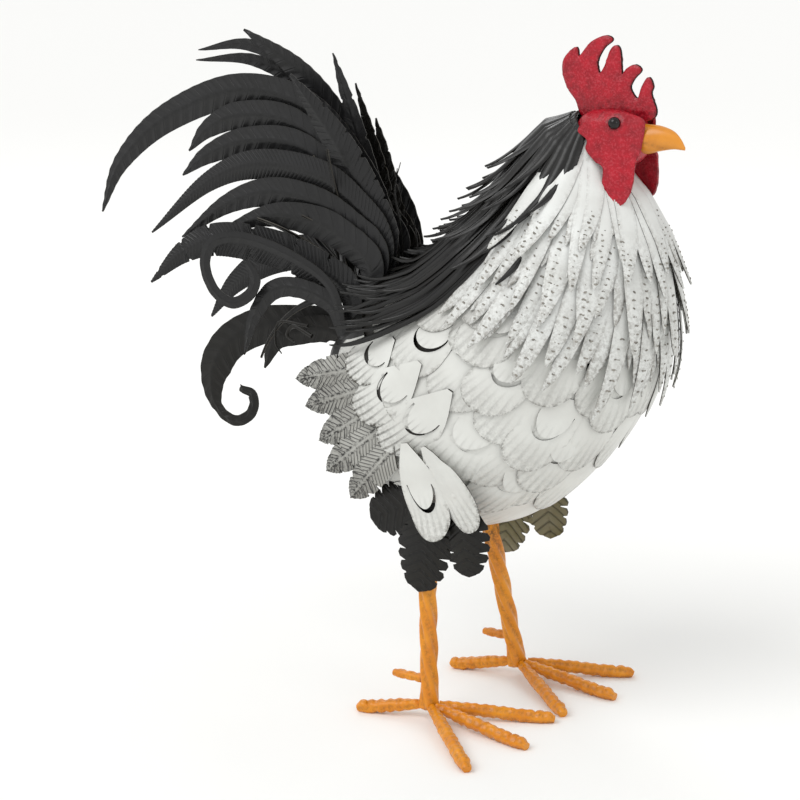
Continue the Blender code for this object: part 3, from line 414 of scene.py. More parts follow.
def feather_plate(
    stack, surface, width, length, tongue=None, spacing=0.0036, ribs=0.0082, wash=0.55, crown=0.0014, waist=0.80,
):
    """One shingle: surface(x, y, rise) takes its flat place and rise to a point on the bird."""
    outline = oval(width, length, waist=waist)
    slits = []
    if tongue:
        wide, middle, reach, gap, lean = tongue
        slits = [slit(wide * width, middle * length, reach * length, gap, lean)]
    points, faces = cut_sheet(outline, slits, spacing)
    x, y = points[:, 0], points[:, 1]
    rise = crown * (1 - (2 * x / width) ** 2)
    press = ramp(y, 0.50 * length, 0.85 * length)
    if tongue:
        reach_here = (2 * x / (wide * width)) ** 2 + ((y - middle * length) / (reach * length)) ** 2
        inner = slits[0][len(slits[0]) // 2:]
        freed = ((reach_here < 0.99) & (y > middle * length)) | (edge_gap(points, inner) < 1e-5)
        rise += 0.0036 * freed * ramp(y, middle * length, (middle + reach) * length)
        press = np.maximum(press, 0.7 * freed * ramp(y, (middle + 0.2 * reach) * length, (middle + 0.7 * reach) * length))
        rise -= 0.0012 * ~freed * np.exp(-((reach_here - 1) / 0.25) ** 2) * (y > middle * length)
    near_edge = 1 - ramp(edge_gap(points, outline), 0.0, 0.0022)
    marks = wash * (0.9 * near_edge * ramp(y, 0.3 * length, 0.5 * length) + 0.45 * ramp(y, 0.6 * length, length))
    fan = 0.60 + 0.40 * ramp(y, 0, length)
    lay(stack, surface(x, y, rise), faces, marks, x / (ribs * fan) + 0.5, press)


def body_surface(tip_t, tip_turn, length, aim, lifts):
    """A feather plate's flat places laid on the body, its tip at a body place and turned by aim."""
    step = np.linalg.norm(body_form(tip_t - 0.25, tip_turn) - body_form(tip_t - 0.75, tip_turn)) / 0.5
    wide = np.linalg.norm(body_form(tip_t - 0.4, tip_turn + 2) - body_form(tip_t - 0.4, tip_turn - 2)) / 4
    turned = math.radians(aim)

    def surface(x, y, rise):
        back = length - y
        across = x * math.cos(turned) + back * math.sin(turned)
        along = back * math.cos(turned) - x * math.sin(turned)
        lift = lifts[0] + (lifts[1] - lifts[0]) * ramp(y, 0, length) + rise
        return on_body(tip_t - along / step, tip_turn + across / wide, lift)

    return surface


FIRST_ROW = 3.0
ROW_COUNT = 7
ROW_REACH = 126.0
PLATES_PER_ROW = 12
PLATE_LENGTH = 1.48
PLATE_SPREAD = 1.22
PLATE_LIFTS = (0.0008, 0.0050)
TONGUE = (0.66, 0.26, 0.32, 0.0060)
# Where the cut tongues end: body station and degrees round from the breast, the same on both sides
TONGUE_TIPS = ((3.2, 99), (3.8, 89), (4.5, 74), (5.95, 63), (6.3, 41), (5.1, 45), (5.45, 31), (4.1, 20))
tongue_plates = [(t + (1 - TONGUE[1] - TONGUE[2]) * PLATE_LENGTH, sign * turn) for t, turn in TONGUE_TIPS for sign in (-1, 1)]
# White enamel, sprayed thin on hand-cut sheet: satin, chalky, grey wash caught in the pressings.
white = enamel("white_enamel_on_sheet", "DADBD6", "CDCDC8", "4E4A41", 0.42, ribs=0.7, stain=0.13, coat=0.12)
# The shears leave a bare edge that has gone dark under the clear coat.
cut_edge = enamel("darkened_cut_edge", "3A3732", "4C4841", "1E1C19", 0.5, metallic=0.4)
for row in range(ROW_COUNT):
    rows = blank()
    pitch = 2 * ROW_REACH / PLATES_PER_ROW
    start = -ROW_REACH - 0.5 * (row % 2) * pitch
    count = PLATES_PER_ROW + row % 2
    turns = start + pitch * (np.arange(count) + 0.5) + chance.uniform(-2.5, 2.5, count)
    tips = FIRST_ROW + row + PLATE_LENGTH + chance.uniform(-0.14, 0.10, count)
    slitted = chance.random(count) < 0.08
    places = [(*place, 0) for place in zip(tips, turns, slitted)]
    for tip, turn in tongue_plates:
        if max(round(tip - PLATE_LENGTH - FIRST_ROW), 0) == row:
            places.append((tip, turn, True, 1))
    for plate, (tip, turn, cut_free, laid_over) in enumerate(places):
        wide = np.linalg.norm(body_form(tip - 0.7, turn + 5) - body_form(tip - 0.7, turn - 5)) / 10
        reach = np.linalg.norm(body_form(tip - 0.2, turn) - body_form(tip - 1.2, turn)) * PLATE_LENGTH
        tongue = (*TONGUE, chance.uniform(-0.5, 0.5)) if cut_free else None
        over = 0.0011 * (plate % 2) + 0.0024 * laid_over
        lifts = (PLATE_LIFTS[0] + over / 2, PLATE_LIFTS[1] + over)
        surface = body_surface(tip, turn, reach, chance.uniform(-9, 9), lifts)
        feather_plate(rows, surface, wide * pitch * PLATE_SPREAD * chance.uniform(0.94, 1.06), reach, tongue)
    plates = press_sheet(f"pressed_plates_{row + 1}", rows, white, cut_edge)
    fit(plates, "white_enamel", f"plate_row_{row + 1}")


# Wings
# Five ribbed grey feathers are stamped in one fan for each wing, and three large white plates
# with U-shaped slits are riveted over their roots.
def rib_press():
    """Raises ribs in a sheet: a point moves out by its place between two grooves."""
    tree = bpy.data.node_groups.new("Pressed ribs", "GeometryNodeTree")
    tree.interface.new_socket("Geometry", in_out="INPUT", socket_type="NodeSocketGeometry")
    tree.interface.new_socket("Depth", in_out="INPUT", socket_type="NodeSocketFloat")
    tree.interface.new_socket("Finish", in_out="INPUT", socket_type="NodeSocketMaterial")
    tree.interface.new_socket("Geometry", in_out="OUTPUT", socket_type="NodeSocketGeometry")
    given = add(tree, "NodeGroupInput").outputs
    rib = add(tree, "GeometryNodeInputNamedAttribute", {"Name": "rib"}, data_type="FLOAT")
    press = add(tree, "GeometryNodeInputNamedAttribute", {"Name": "press"}, data_type="FLOAT")
    wave = add(tree, "ShaderNodeMath", {0: rib.outputs["Attribute"], 1: 0.5}, operation="PINGPONG")
    crest = add(tree, "ShaderNodeMath", {0: wave.outputs[0], 1: 2.0}, operation="MULTIPLY")
    rise = add(tree, "ShaderNodeMath", {0: crest.outputs[0], 1: press.outputs["Attribute"]}, operation="MULTIPLY")
    lift = add(tree, "ShaderNodeMath", {0: rise.outputs[0], 1: given["Depth"]}, operation="MULTIPLY")
    normal = add(tree, "GeometryNodeInputNormal")
    offset = add(tree, "ShaderNodeVectorMath", {0: normal.outputs[0], "Scale": lift.outputs[0]}, operation="SCALE")
    moved = add(tree, "GeometryNodeSetPosition", {"Geometry": given["Geometry"], "Offset": offset.outputs[0]})
    real = add(tree, "GeometryNodeRealizeInstances", {"Geometry": moved.outputs[0]})
    done = add(tree, "GeometryNodeSetMaterial", {"Geometry": real.outputs[0], "Material": given["Finish"]})
    add(tree, "NodeGroupOutput", {"Geometry": done.outputs[0]})
    return tree


pressed_ribs = rib_press()


def barbed_blade(stack, centre, half, pitch, slant, wash, press, face, columns=8, steps=4):
    """A feather with a middle rib and slanting barbs; its rows follow the barbs.

    centre(s) and half(s) give the middle line in the x, z plane and the half width for s from
    0 to 1, and face(x, z, share, half) the y of each point. steps is the rows to each barb.
    """
    fine = np.linspace(0, 1, 400)
    line = centre(fine)
    arc = np.concatenate(([0], np.cumsum(np.linalg.norm(np.diff(line, axis=0), axis=1))))
    rows = max(int(arc[-1] / pitch * steps), 8)
    s = np.interp(np.linspace(0, arc[-1], rows + 1), arc, fine)
    share = np.linspace(-1, 1, columns + 1)
    swept = np.interp(s, fine, arc)[:, None] + slant * np.abs(share)[None] * half(s)[:, None]
    spot = np.interp(np.minimum(swept, arc[-1]), arc, fine)
    middle = centre(spot)
    way = centre(np.minimum(spot + 0.004, 1)) - centre(np.maximum(spot - 0.004, 0))
    way /= np.linalg.norm(way, axis=-1, keepdims=True)
    reach = half(spot) * share[None]
    x = middle[..., 0] - way[..., 1] * reach
    z = middle[..., 1] + way[..., 0] * reach
    y = face(x, z, share[None], half(spot))
    rib = np.repeat(np.arange(rows + 1)[:, None] / steps, columns + 1, axis=1)
    strength = press(spot, np.abs(share)[None])
    lay_grid(stack, np.stack((x, y, z), -1), wash(spot, np.abs(share)[None]), rib, strength)


WING_HALF_WIDTH = 0.1128
WING_MIDDLE = 0.275
WING_HALF_HEIGHT = 0.135
WING_TAPER = 0.10
FLIGHT_WIDTH = 0.031
FLIGHT_STEP = 0.0006
BARB_PITCH = 0.0046
FLIGHTS = (
    ((-0.050, 0.334), (-0.138, 0.311)),
    ((-0.046, 0.318), (-0.124, 0.288)),
    ((-0.042, 0.300), (-0.108, 0.258)),
    ((-0.034, 0.283), (-0.103, 0.229)),
    ((-0.020, 0.268), (-0.081, 0.205)),
)
COVERT_TURNS = (76.0, 130.0)
COVERT_ROOT = 5.25
COVERT_TIPS = (7.25, 7.35, 6.85)
COVERT_TONGUE = (0.62, 0.36, 0.26, 0.0064, 0.35)


def wing_depth(x, z):
    """The flight feathers lie on a shallow curved form just outside the body plates."""
    width = WING_HALF_WIDTH + WING_TAPER * (x + 0.03)
    return width * np.sqrt(np.maximum(1 - ((z - WING_MIDDLE) / WING_HALF_HEIGHT) ** 2, 0.2))


# Grey wash wiped over white enamel: pale crests, near-black grooves and darker towards the tip.
washed_grey = enamel("grey_wash_over_enamel", "B6B6B0", "96958F", "1C1B18", 0.48, ribs=0.5, groove=0.20, stain=0.9, coat=0.1)
# White enamel with the grey wash left in its pressed fan of ribs, so that each rib is drawn.
wiped_white = enamel("white_enamel_wiped_grey", "DADBD6", "CBCBC6", "45423A", 0.42, ribs=0.8, groove=0.22, stain=0.5, coat=0.12)
for side, sign in (("right", -1), ("left", 1)):
    fan = blank()
    for k, (root, tip) in enumerate(FLIGHTS):
        ends = np.array((root, tip))

        def flight_half(s):
            notched = (np.abs(np.mod(np.asarray(s) * 5.3 + 0.37 * k, 1.0) - 0.5) < 0.05) & (np.asarray(s) > 0.4)
            return FLIGHT_WIDTH / 2 * np.maximum(1 - ramp(s, 0.45, 1.0) ** 2.4, 0.002) ** 0.7 * (1 - 0.3 * notched)

        def flight_face(x, z, share, half):
            return sign * (wing_depth(x, z) + FLIGHT_STEP * k - 0.0020 * np.abs(share) ** 1.5)

        barbed_blade(
            fan, lambda s: ends[0] + (ends[1] - ends[0]) * np.asarray(s)[..., None], flight_half,
            BARB_PITCH, 0.95, lambda s, a: 0.9 * ramp(s, 0.55, 1.0) + 1.2 * (np.abs(a - 0.14) < 0.05),
            lambda s, a: ramp(a, 0.14, 0.3) * (1 - 0.6 * ramp(s, 0.85, 1.0)), flight_face, columns=14,
        )
    flights = press_sheet(f"ribbed_flights_{side}", fan, washed_grey, cut_edge, tree=pressed_ribs, Depth=0.0009, Finish=washed_grey)
    fit(flights, "grey_washed_enamel", f"wing_flights_{side}")
    # A black plate behind the shoulder plates is painted shadow: it makes their slits read as dark crescents.
    shoulder, slit_shadow_plates = blank(), blank()
    pitch = (COVERT_TURNS[1] - COVERT_TURNS[0]) / 3
    for plate, tip in enumerate(COVERT_TIPS):
        turn = COVERT_TURNS[0] + pitch * (plate + 0.5)
        reach = np.linalg.norm(body_form(tip, turn) - body_form(COVERT_ROOT, turn)) * 1.02
        wide = np.linalg.norm(body_form(6.6, turn + 5) - body_form(6.6, turn - 5)) / 10 * pitch * 1.25
        base = body_surface(tip, sign * turn, reach, 0, (0, 0))

        def covert_surface(x, y, rise):
            point = base(sign * x, y, 0 * rise)
            over = wing_depth(point[:, 0], point[:, 2]) + 5 * FLIGHT_STEP + SHEET - 0.4 * np.maximum(point[:, 0] + 0.03, 0)
            over += 0.0012 * plate * ramp(y, 0.5 * reach, reach)
            point[:, 1] = sign * (np.maximum(np.abs(point[:, 1]) + 0.0061, over) + rise)
            return point

        feather_plate(
            shoulder, covert_surface, wide, reach, COVERT_TONGUE, wash=1.0, crown=0.0018, ribs=0.0074, waist=0.12,
        )
        feather_plate(
            slit_shadow_plates, lambda x, y, rise: covert_surface(x, y, rise - 0.0017), wide * 0.80, reach * 0.92, waist=0.12,
        )
    coverts = press_sheet(f"shoulder_plates_{side}", shoulder, wiped_white, cut_edge)
    fit(coverts, "white_enamel", f"wing_coverts_{side}")
    dark = press_sheet(f"shoulder_slit_shadow_{side}", slit_shadow_plates, core_and_shadow_black, core_and_shadow_black)
    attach(dark, "root")


# Thighs
# Each leg is hidden at its top by three jagged black leaves cut from one sheet, and two long
# white ovals that hang over them from a rivet.
THIGH_FACE = 0.0945
THIGH_FLARE = 0.28
THIGH_SHIFT = {"right": 0.0, "left": -0.018}
LEAF_DROP = {"right": 0.0, "left": 0.016}
LEAVES = (
    ((-0.004, 0.214), (-0.0600, 0.1890), 0.054, 5),
    ((0.003, 0.215), (-0.0080, 0.1270), 0.058, 6),
    ((0.036, 0.214), (0.0450, 0.1500), 0.050, 5),
)
OVALS = (
    ((0.0125, 0.2730), (0.0510, 0.1940), 0.037, 0.12, None),
    ((-0.0060, 0.2740), (0.0125, 0.1800), 0.045, 0.15, (0.62, 0.46, 0.26, 0.0054, -0.3)),
)
RIVET = (0.0365, 0.2290)
RIVET_RADIUS = 0.0030
# Black enamel on thin leaves: satin with a brown cast where light rakes the ribs. Those of the
# left leg were sprayed thinner, so that they look olive and grey.
leaf_finish = {
    "right": enamel(
        "black_enamel_leaves", "0F0E0C", "15130D", "070706", 0.42, ribs=0.8, groove=0.22, stain=0.8, specular=0.3,
    ),
    "left": enamel(
        "olive_grey_enamel_leaves", "85816A", "6B653F", "262314", 0.45, ribs=0.8, groove=0.22, stain=0.7, specular=0.4,
    ),
}


def jagged_leaf(root, tip, width, teeth):
    """A broad leaf's outline with a small notch between each two teeth."""
    root, tip = np.array(root), np.array(tip)
    way = tip - root
    side_way = np.array((-way[1], way[0])) / np.linalg.norm(way)
    right, left = [], []
    for k in range(teeth):
        s = 0.20 + 0.77 * (k + 0.1) / teeth
        slot = chance.uniform(0.60, 0.86)
        for step, share in ((0.0, 0.95), (0.35, 1.04), (0.70, 1.00), (0.80, slot), (0.86, slot)):
            at = s + step * 0.77 / teeth
            half = width / 2 * math.sqrt(max(1 - max(at, 0) ** 3.4, 0.02)) * (0.8 + 0.2 * min(at / 0.4, 1)) * share
            spot = root + way * at
            right.append(spot + side_way * half)
            left.append(spot - side_way * half)
    start = [root - side_way * width * 0.3, root + side_way * width * 0.3]
    return start + right + [tip] + left[::-1]


def ball(name, centre, radii, finish, segments, rings, power=2.0):
    """A closed oval; a power above 2 squares its shoulders."""
    bm = bmesh.new()
    bmesh.ops.create_uvsphere(bm, u_segments=segments, v_segments=rings, radius=1.0)
    points = np.array([v.co for v in bm.verts])
    points /= (np.abs(points) ** power).sum(1, keepdims=True) ** (1 / power)
    faces = [tuple(v.index for v in face.verts) for face in bm.faces]
    bm.free()
    return make_plain(make_mesh(name, points * radii + centre, faces, [finish]))


for side, sign in (("right", -1), ("left", 1)):
    spray = blank()
    for k, (root, tip, width, teeth) in enumerate(LEAVES):
        outline = jagged_leaf(root, tip, width, teeth)
        points, faces = cut_sheet(outline, [], 0.0032)
        way = np.array(tip) - np.array(root)
        way /= np.linalg.norm(way)
        along = (points - np.array(root)) @ way
        across = (points - np.array(root)) @ np.array((-way[1], way[0]))
        depth = THIGH_FACE - SHEET - 0.0006 - 0.0018 * (k != 1) + 0.0045 * (1 - (2 * across / width) ** 2)
        depth -= 0.0012 * np.abs(np.sin((along - 0.7 * np.abs(across)) * math.pi / 0.0094))
        depth -= 0.0030 * ramp(along, 0.035, 0.085)
        place = np.stack((points[:, 0] + THIGH_SHIFT[side], sign * depth, points[:, 1] - LEAF_DROP[side]), -1)
        lay(spray, place, faces, 0.3 * (np.abs(across) < 0.0012), (along - 0.7 * np.abs(across)) / 0.0094, 0.8)
    leaves = press_sheet(f"jagged_leaves_{side}", spray, leaf_finish[side], leaf_finish["right"])
    fit(leaves, "black_enamel", f"thigh_leaves_{side}")
    apron = blank()
    for k, (root, tip, width, waist, tongue) in enumerate(OVALS):
        root, tip = np.array(root), np.array(tip)
        length = np.linalg.norm(tip - root)
        way = (tip - root) / length
        side_way = np.array((-way[1], way[0]))

        def oval_surface(x, y, rise):
            spot = root + side_way * x[:, None] + way * y[:, None]
            depth = THIGH_FACE + THIGH_FLARE * np.maximum(spot[:, 1] - 0.200, 0) + rise + 0.0026 * k
            if not k:
                fold = ramp(spot[:, 1], 0.215, 0.250)
                depth += 0.0022 * fold * np.abs(np.sin(x * 420))
            return np.stack((spot[:, 0] + THIGH_SHIFT[side], sign * depth, spot[:, 1]), -1)

        feather_plate(apron, oval_surface, width, length, tongue, wash=0.7, crown=0.0040, waist=waist, ribs=0.0070)
    ovals = press_sheet(f"thigh_ovals_{side}", apron, white, cut_edge)
    fit(ovals, "white_enamel", f"thigh_plates_{side}")
    seat = THIGH_FACE + THIGH_FLARE * (RIVET[1] - 0.200) + 0.0040
    dome = (RIVET[0] + THIGH_SHIFT[side], sign * seat, RIVET[1])
    rivet = ball(f"thigh_rivet_{side}", dome, np.array((RIVET_RADIUS, 0.0017, RIVET_RADIUS)), white, 20, 10)
    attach(rivet, "root")


# Collars of the neck
# Three fringed collars of white-enamelled sheet, wrapped round the neck one over the other and
# slit into long strips, each punched with a row of dents towards its tip.
COLLARS = (("lower", 4.35), ("middle", 3.4), ("upper", 2.45))
HACKLE_ROOT = -0.22
BIB_LIFT = 0.003
HACKLE_REACH = 112.0
HACKLE_FLARE = 0.007
FRONT_FLARE = 0.0065
THROAT_TUCK = 0.0028
FRONT_TURN = 35.0
STRIP_HALF = 0.0077
LINING_END = 3.6
# Under and upper strips of one collar: how many, how much shorter, how far in and how dark their brown colour is, which
# on the under strips is painted shade between the strips
STRIP_LAYERS = ((25, 0.45, -0.0012, 0.75), (24, 0.0, 0.0, 0.60))


def hackle_lift(t, collar):
    """The collars rise over the first row of plates, one over the other."""
    over_plates = 0.0072
    spread = collar * 0.0030 * ramp(t, 0.2, 1.4)
    return 0.0014 + (over_plates - 0.0014) * ramp(t, 0.4, 3.4) + collar * 0.0006 + spread


def strip(stack, root, end, turn, half, lift, bend=0.0, crown=0.0011, wash=0.3, rows=28, columns=4, taper=1.2):
    """A strip down the body between two stations, half wide in metres, narrowing at its end."""
    s = np.linspace(0, 1, rows + 1)
    t = root + (end - root) * s
    across = np.linspace(-1, 1, columns + 1)
    narrow = ramp(t, end - taper, end)
    width = half * (1 - 0.55 * narrow ** 1.4) * np.sqrt(np.maximum(1 - narrow ** 5, 0.004))
    middle = turn + bend * s ** 2
    degree = np.linalg.norm(body_form(t, middle + 2) - body_form(t, middle - 2), axis=-1) / 4
    place = middle[:, None] + (width / degree)[:, None] * across[None]
    rise = lift(t)[:, None] + crown * (1 - across[None] ** 2)
    points = on_body(np.broadcast_to(t[:, None], place.shape), place, rise)
    # Darker along both edges and towards the end; on a collar's under strips this is painted shade.
    marks = wash * (0.5 * np.abs(across[None]) ** 6 + 0.8 * ramp(s, 0.6, 1.0)[:, None])
    lay_grid(stack, points, marks)
    centre = columns // 2
    return points[:, centre], points[:, centre + 1] - points[:, centre - 1]


def mark_press():
    """Sets a small flattened bead on every point, turned as the point says."""
    tree = bpy.data.node_groups.new("Punched marks", "GeometryNodeTree")
    tree.interface.new_socket("Geometry", in_out="INPUT", socket_type="NodeSocketGeometry")
    for key in ("Length", "Width", "Rise"):
        tree.interface.new_socket(key, in_out="INPUT", socket_type="NodeSocketFloat")
    tree.interface.new_socket("Finish", in_out="INPUT", socket_type="NodeSocketMaterial")
    tree.interface.new_socket("Geometry", in_out="OUTPUT", socket_type="NodeSocketGeometry")
    given = add(tree, "NodeGroupInput").outputs
    bead = add(tree, "GeometryNodeMeshIcoSphere", {"Radius": 0.5, "Subdivisions": 1})
    size = add(tree, "ShaderNodeCombineXYZ", {0: given["Length"], 1: given["Width"], 2: given["Rise"]})
    flat = add(tree, "GeometryNodeTransform", {"Geometry": bead.outputs[0], "Scale": size.outputs[0]})
    turn = add(tree, "GeometryNodeInputNamedAttribute", {"Name": "lie"}, data_type="FLOAT_VECTOR")
    spin = add(tree, "FunctionNodeEulerToRotation", {0: turn.outputs["Attribute"]})
    scale = add(tree, "GeometryNodeInputNamedAttribute", {"Name": "size"}, data_type="FLOAT")
    marks = add(tree, "GeometryNodeInstanceOnPoints", {
        "Points": given["Geometry"], "Instance": flat.outputs[0],
        "Rotation": spin.outputs[0], "Scale": scale.outputs["Attribute"],
    })
    real = add(tree, "GeometryNodeRealizeInstances", {"Geometry": marks.outputs[0]})
    done = add(tree, "GeometryNodeSetMaterial", {"Geometry": real.outputs[0], "Material": given["Finish"]})
    add(tree, "NodeGroupOutput", {"Geometry": done.outputs[0]})
    return tree


punched_marks = mark_press()


def scatter_marks(name, places, ways, sides, sizes, finish, length, width, rise):
    """Beads at the places, long along the ways and flat against the sheet."""
    lies = []
    for way, across in zip(ways, sides):
        x = Vector(way).normalized()
        z = x.cross(Vector(across)).normalized()
        y = z.cross(x)
        lies.append(tuple(Matrix((x, y, z)).transposed().to_euler()))
    obj = make_mesh(name, places, [], [finish], lie=np.array(lies), size=np.array(sizes))
    modifier = obj.modifiers.new("Marks", "NODES")
    modifier.node_group = punched_marks
    sockets = {s.name: s.identifier for s in punched_marks.interface.items_tree if s.in_out == "INPUT"}
    for key, value in (("Length", length), ("Width", width), ("Rise", rise), ("Finish", finish)):
        modifier[sockets[key]] = value
    return make_plain(obj)


# The same white enamel on the strips. Its brown colour darkens their edges and ends, and on the lining and the under
# strips it is painted shade between the strips.
hackle_white = enamel("white_enamel_strips", "DFE1DE", "D2D3CF", "5A5042", 0.40, mottle=30.0, coat=0.15)
# The dents are marked with beads of a darker grey than the flats.
dent_wash = enamel("dark_wash_in_dents", "9A968D", "5C5850", "3A372F", 0.6, mottle=4.0)
dent_places, dent_ways, dent_sides, dent_sizes = [], [], [], []
for collar, (collar_name, collar_end) in enumerate(COLLARS):
    fringe = blank()
    if not collar:
        # A lining sheet under the lowest collar's strips, coloured brown as painted shade in the gaps between them.
        lining_t, lining_turn = np.linspace(HACKLE_ROOT, LINING_END, 40), np.linspace(-HACKLE_REACH, HACKLE_REACH, 90)
        under = np.maximum(hackle_lift(lining_t, 0) - 0.0022, 0.0007)
        lay_grid(fringe, on_body(lining_t[:, None], lining_turn[None], under[:, None]), 0.35)
    for layer, (count, shorter, inner, shade_and_stain) in enumerate(STRIP_LAYERS):
        pitch = 2 * HACKLE_REACH / count
        for k in range(count):
            turn = pitch * (k + 0.5) - HACKLE_REACH
            ahead = max(math.cos(math.radians(turn - FRONT_TURN)), 0) ** 2
            throat = max(math.cos(math.radians(turn)), 0) ** 6
            end = collar_end - shorter - 0.40 * (k % 2) + chance.uniform(-0.22, 0.12)
            flare = (HACKLE_FLARE + FRONT_FLARE * ahead - THROAT_TUCK * throat) * (1 - 0.4 * (layer == 0))
            flare += chance.uniform(-0.003, 0.002)
            over = inner + 0.0010 * (k % 3)

            def collar_lift(t):
                bib = BIB_LIFT * throat * ramp(t, -0.45, 0.3) * (1 - ramp(t, 1.5, 3.0))
                tucked = 0.0065 * ramp(0.6 - t, 0, 0.7)
                return hackle_lift(t, collar) + over + bib - tucked + flare * ramp(t, 0.8, collar_end) ** 2

            line, across = strip(
                fringe, HACKLE_ROOT - 0.20 * throat, end, turn, STRIP_HALF * chance.uniform(0.85, 1.12), collar_lift,
                bend=chance.uniform(-7, 7), wash=shade_and_stain,
            )
            if not layer:
                continue
            arc = np.concatenate(([0], np.cumsum(np.linalg.norm(np.diff(line, axis=0), axis=1))))
            at = arc[-1] * chance.uniform(0.55, 0.80)
            while at < arc[-1] * 0.96:
                j = min(np.searchsorted(arc, at), len(line) - 1)
                step = (line[j] - line[j - 1]) / np.linalg.norm(line[j] - line[j - 1])
                normal = np.cross(step, across[j])
                normal /= -np.linalg.norm(normal)
                dent_places.append(line[j] + across[j] * chance.uniform(-0.30, 0.30) - normal * 0.0006)
                dent_ways.append(across[j] / np.linalg.norm(across[j]) + chance.uniform(-0.8, 0.8) * step)
                dent_sides.append(step)
                dent_sizes.append(chance.uniform(0.35, 1.4))
                at += chance.uniform(0.0014, 0.0042)
    strips = press_sheet(f"fringed_collar_{collar_name}", fringe, hackle_white, cut_edge)
    fit(strips, "white_enamel", f"hackle_collar_{collar_name}")
dents = scatter_marks("collar_dents", dent_places, dent_ways, dent_sides, dent_sizes, dent_wash, 0.0027, 0.0015, 0.0009)
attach(dents, "root")


# Nape and saddle
# Long strips of black-enamelled sheet start at the back of the head and over the shoulders,
# fall down the back on both sides of the tail and lift away at their tips.
NAPE_ROOT = -0.32
NAPE_END = 3.1
SADDLE_ROOT = 1.9
SADDLE_END = 6.6
SADDLE_MIDDLE_END = 4.7
SADDLE_EDGE = 113.0
# Black enamel with a clear coat: deep, with long grey highlights down each fold.
strand_black = enamel("black_enamel_strands", "0E0E0D", "171614", "080807", 0.34, mottle=25.0, coat=0.12, specular=0.35)
NAPE_REACH = 190.0
nape = blank()
for layer, count in ((0, 25), (1, 21)):
    reach = NAPE_REACH
    pitch = reach / count
    for k in range(count):
        turn = 180 - reach / 2 + pitch * (k + 0.5)
        end = NAPE_END - 0.40 * (k % 3) - 0.7 * layer + chance.uniform(-0.2, 0.2)

        def nape_lift(t):
            lift = 0.0044 + 0.0020 * layer + 0.0009 * (k % 2) + 0.0040 * ramp(t, 0.4, 2)
            dip = 0.005 + 0.010 * max(-math.cos(math.radians(turn)), 0)
            return lift - dip * ramp(0.30 - t, 0, 0.6) + 0.014 * ramp(t, end - 1.0, end) ** 2

        strip(
            nape, NAPE_ROOT + 0.1 * layer, end, turn, 0.0046, nape_lift,
            bend=(180 - turn) / 9 + chance.uniform(-5, 5), crown=0.0016, wash=0.1, taper=1.6,
        )
napes = press_sheet("nape_strips", nape, strand_black, cut_edge)
fit(napes, "black_enamel", "nape_strands")
saddle = blank()
for layer, count in ((0, 34), (1, 30), (2, 20)):
    pitch = 2 * (180 - SADDLE_EDGE) / count
    for k in range(count):
        turn = SADDLE_EDGE + pitch * (k + 0.5)
        beside = abs(turn - 180) > 24
        end = (SADDLE_END if beside else SADDLE_MIDDLE_END) - 0.35 * (k % 3) - 0.55 * layer + chance.uniform(-0.25, 0.15)
        sweep = math.copysign(5 + 6 * beside, 180 - turn)

        def saddle_lift(t):
            lift = 0.0010 + 0.0062 * ramp(t, SADDLE_ROOT, 3.0) + 0.0100 * ramp(t, 4, 6)
            return lift + 0.0020 * layer + 0.0009 * (k % 2) + 0.010 * ramp(t, end - 0.8, end) ** 2

        strip(
            saddle, SADDLE_ROOT - 0.2 * layer, end, turn, 0.0036, saddle_lift,
            bend=sweep + chance.uniform(-5, 5), crown=0.0016, wash=0.1, taper=2.0,
        )
saddles = press_sheet("saddle_strips", saddle, strand_black, cut_edge)
fit(saddles, "black_enamel", "saddle_strands")
# Small black shingles close the rump under the tail, where the photograph's own side can't show.
RUMP_ROWS = 5
RUMP_PITCH = 17.0
rump = blank()
for row in range(RUMP_ROWS):
    tip = 7.8 + 0.9 * row
    count = 8 - row % 2
    for k in range(count):
        turn = 180 + (k - (count - 1) / 2) * RUMP_PITCH
        wide = np.linalg.norm(body_form(tip - 0.7, turn + 5) - body_form(tip - 0.7, turn - 5)) / 10
        reach = np.linalg.norm(body_form(tip - 0.2, turn) - body_form(tip - 1.2, turn)) * 1.7
        surface = body_surface(tip, turn, reach, chance.uniform(-8, 8), (0.0006, 0.0034 + 0.0008 * (k % 2)))
        feather_plate(rump, surface, wide * RUMP_PITCH * 1.25, reach, wash=0.2)
shingles = press_sheet("rump_shingles", rump, strand_black, cut_edge)
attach(shingles, "root")


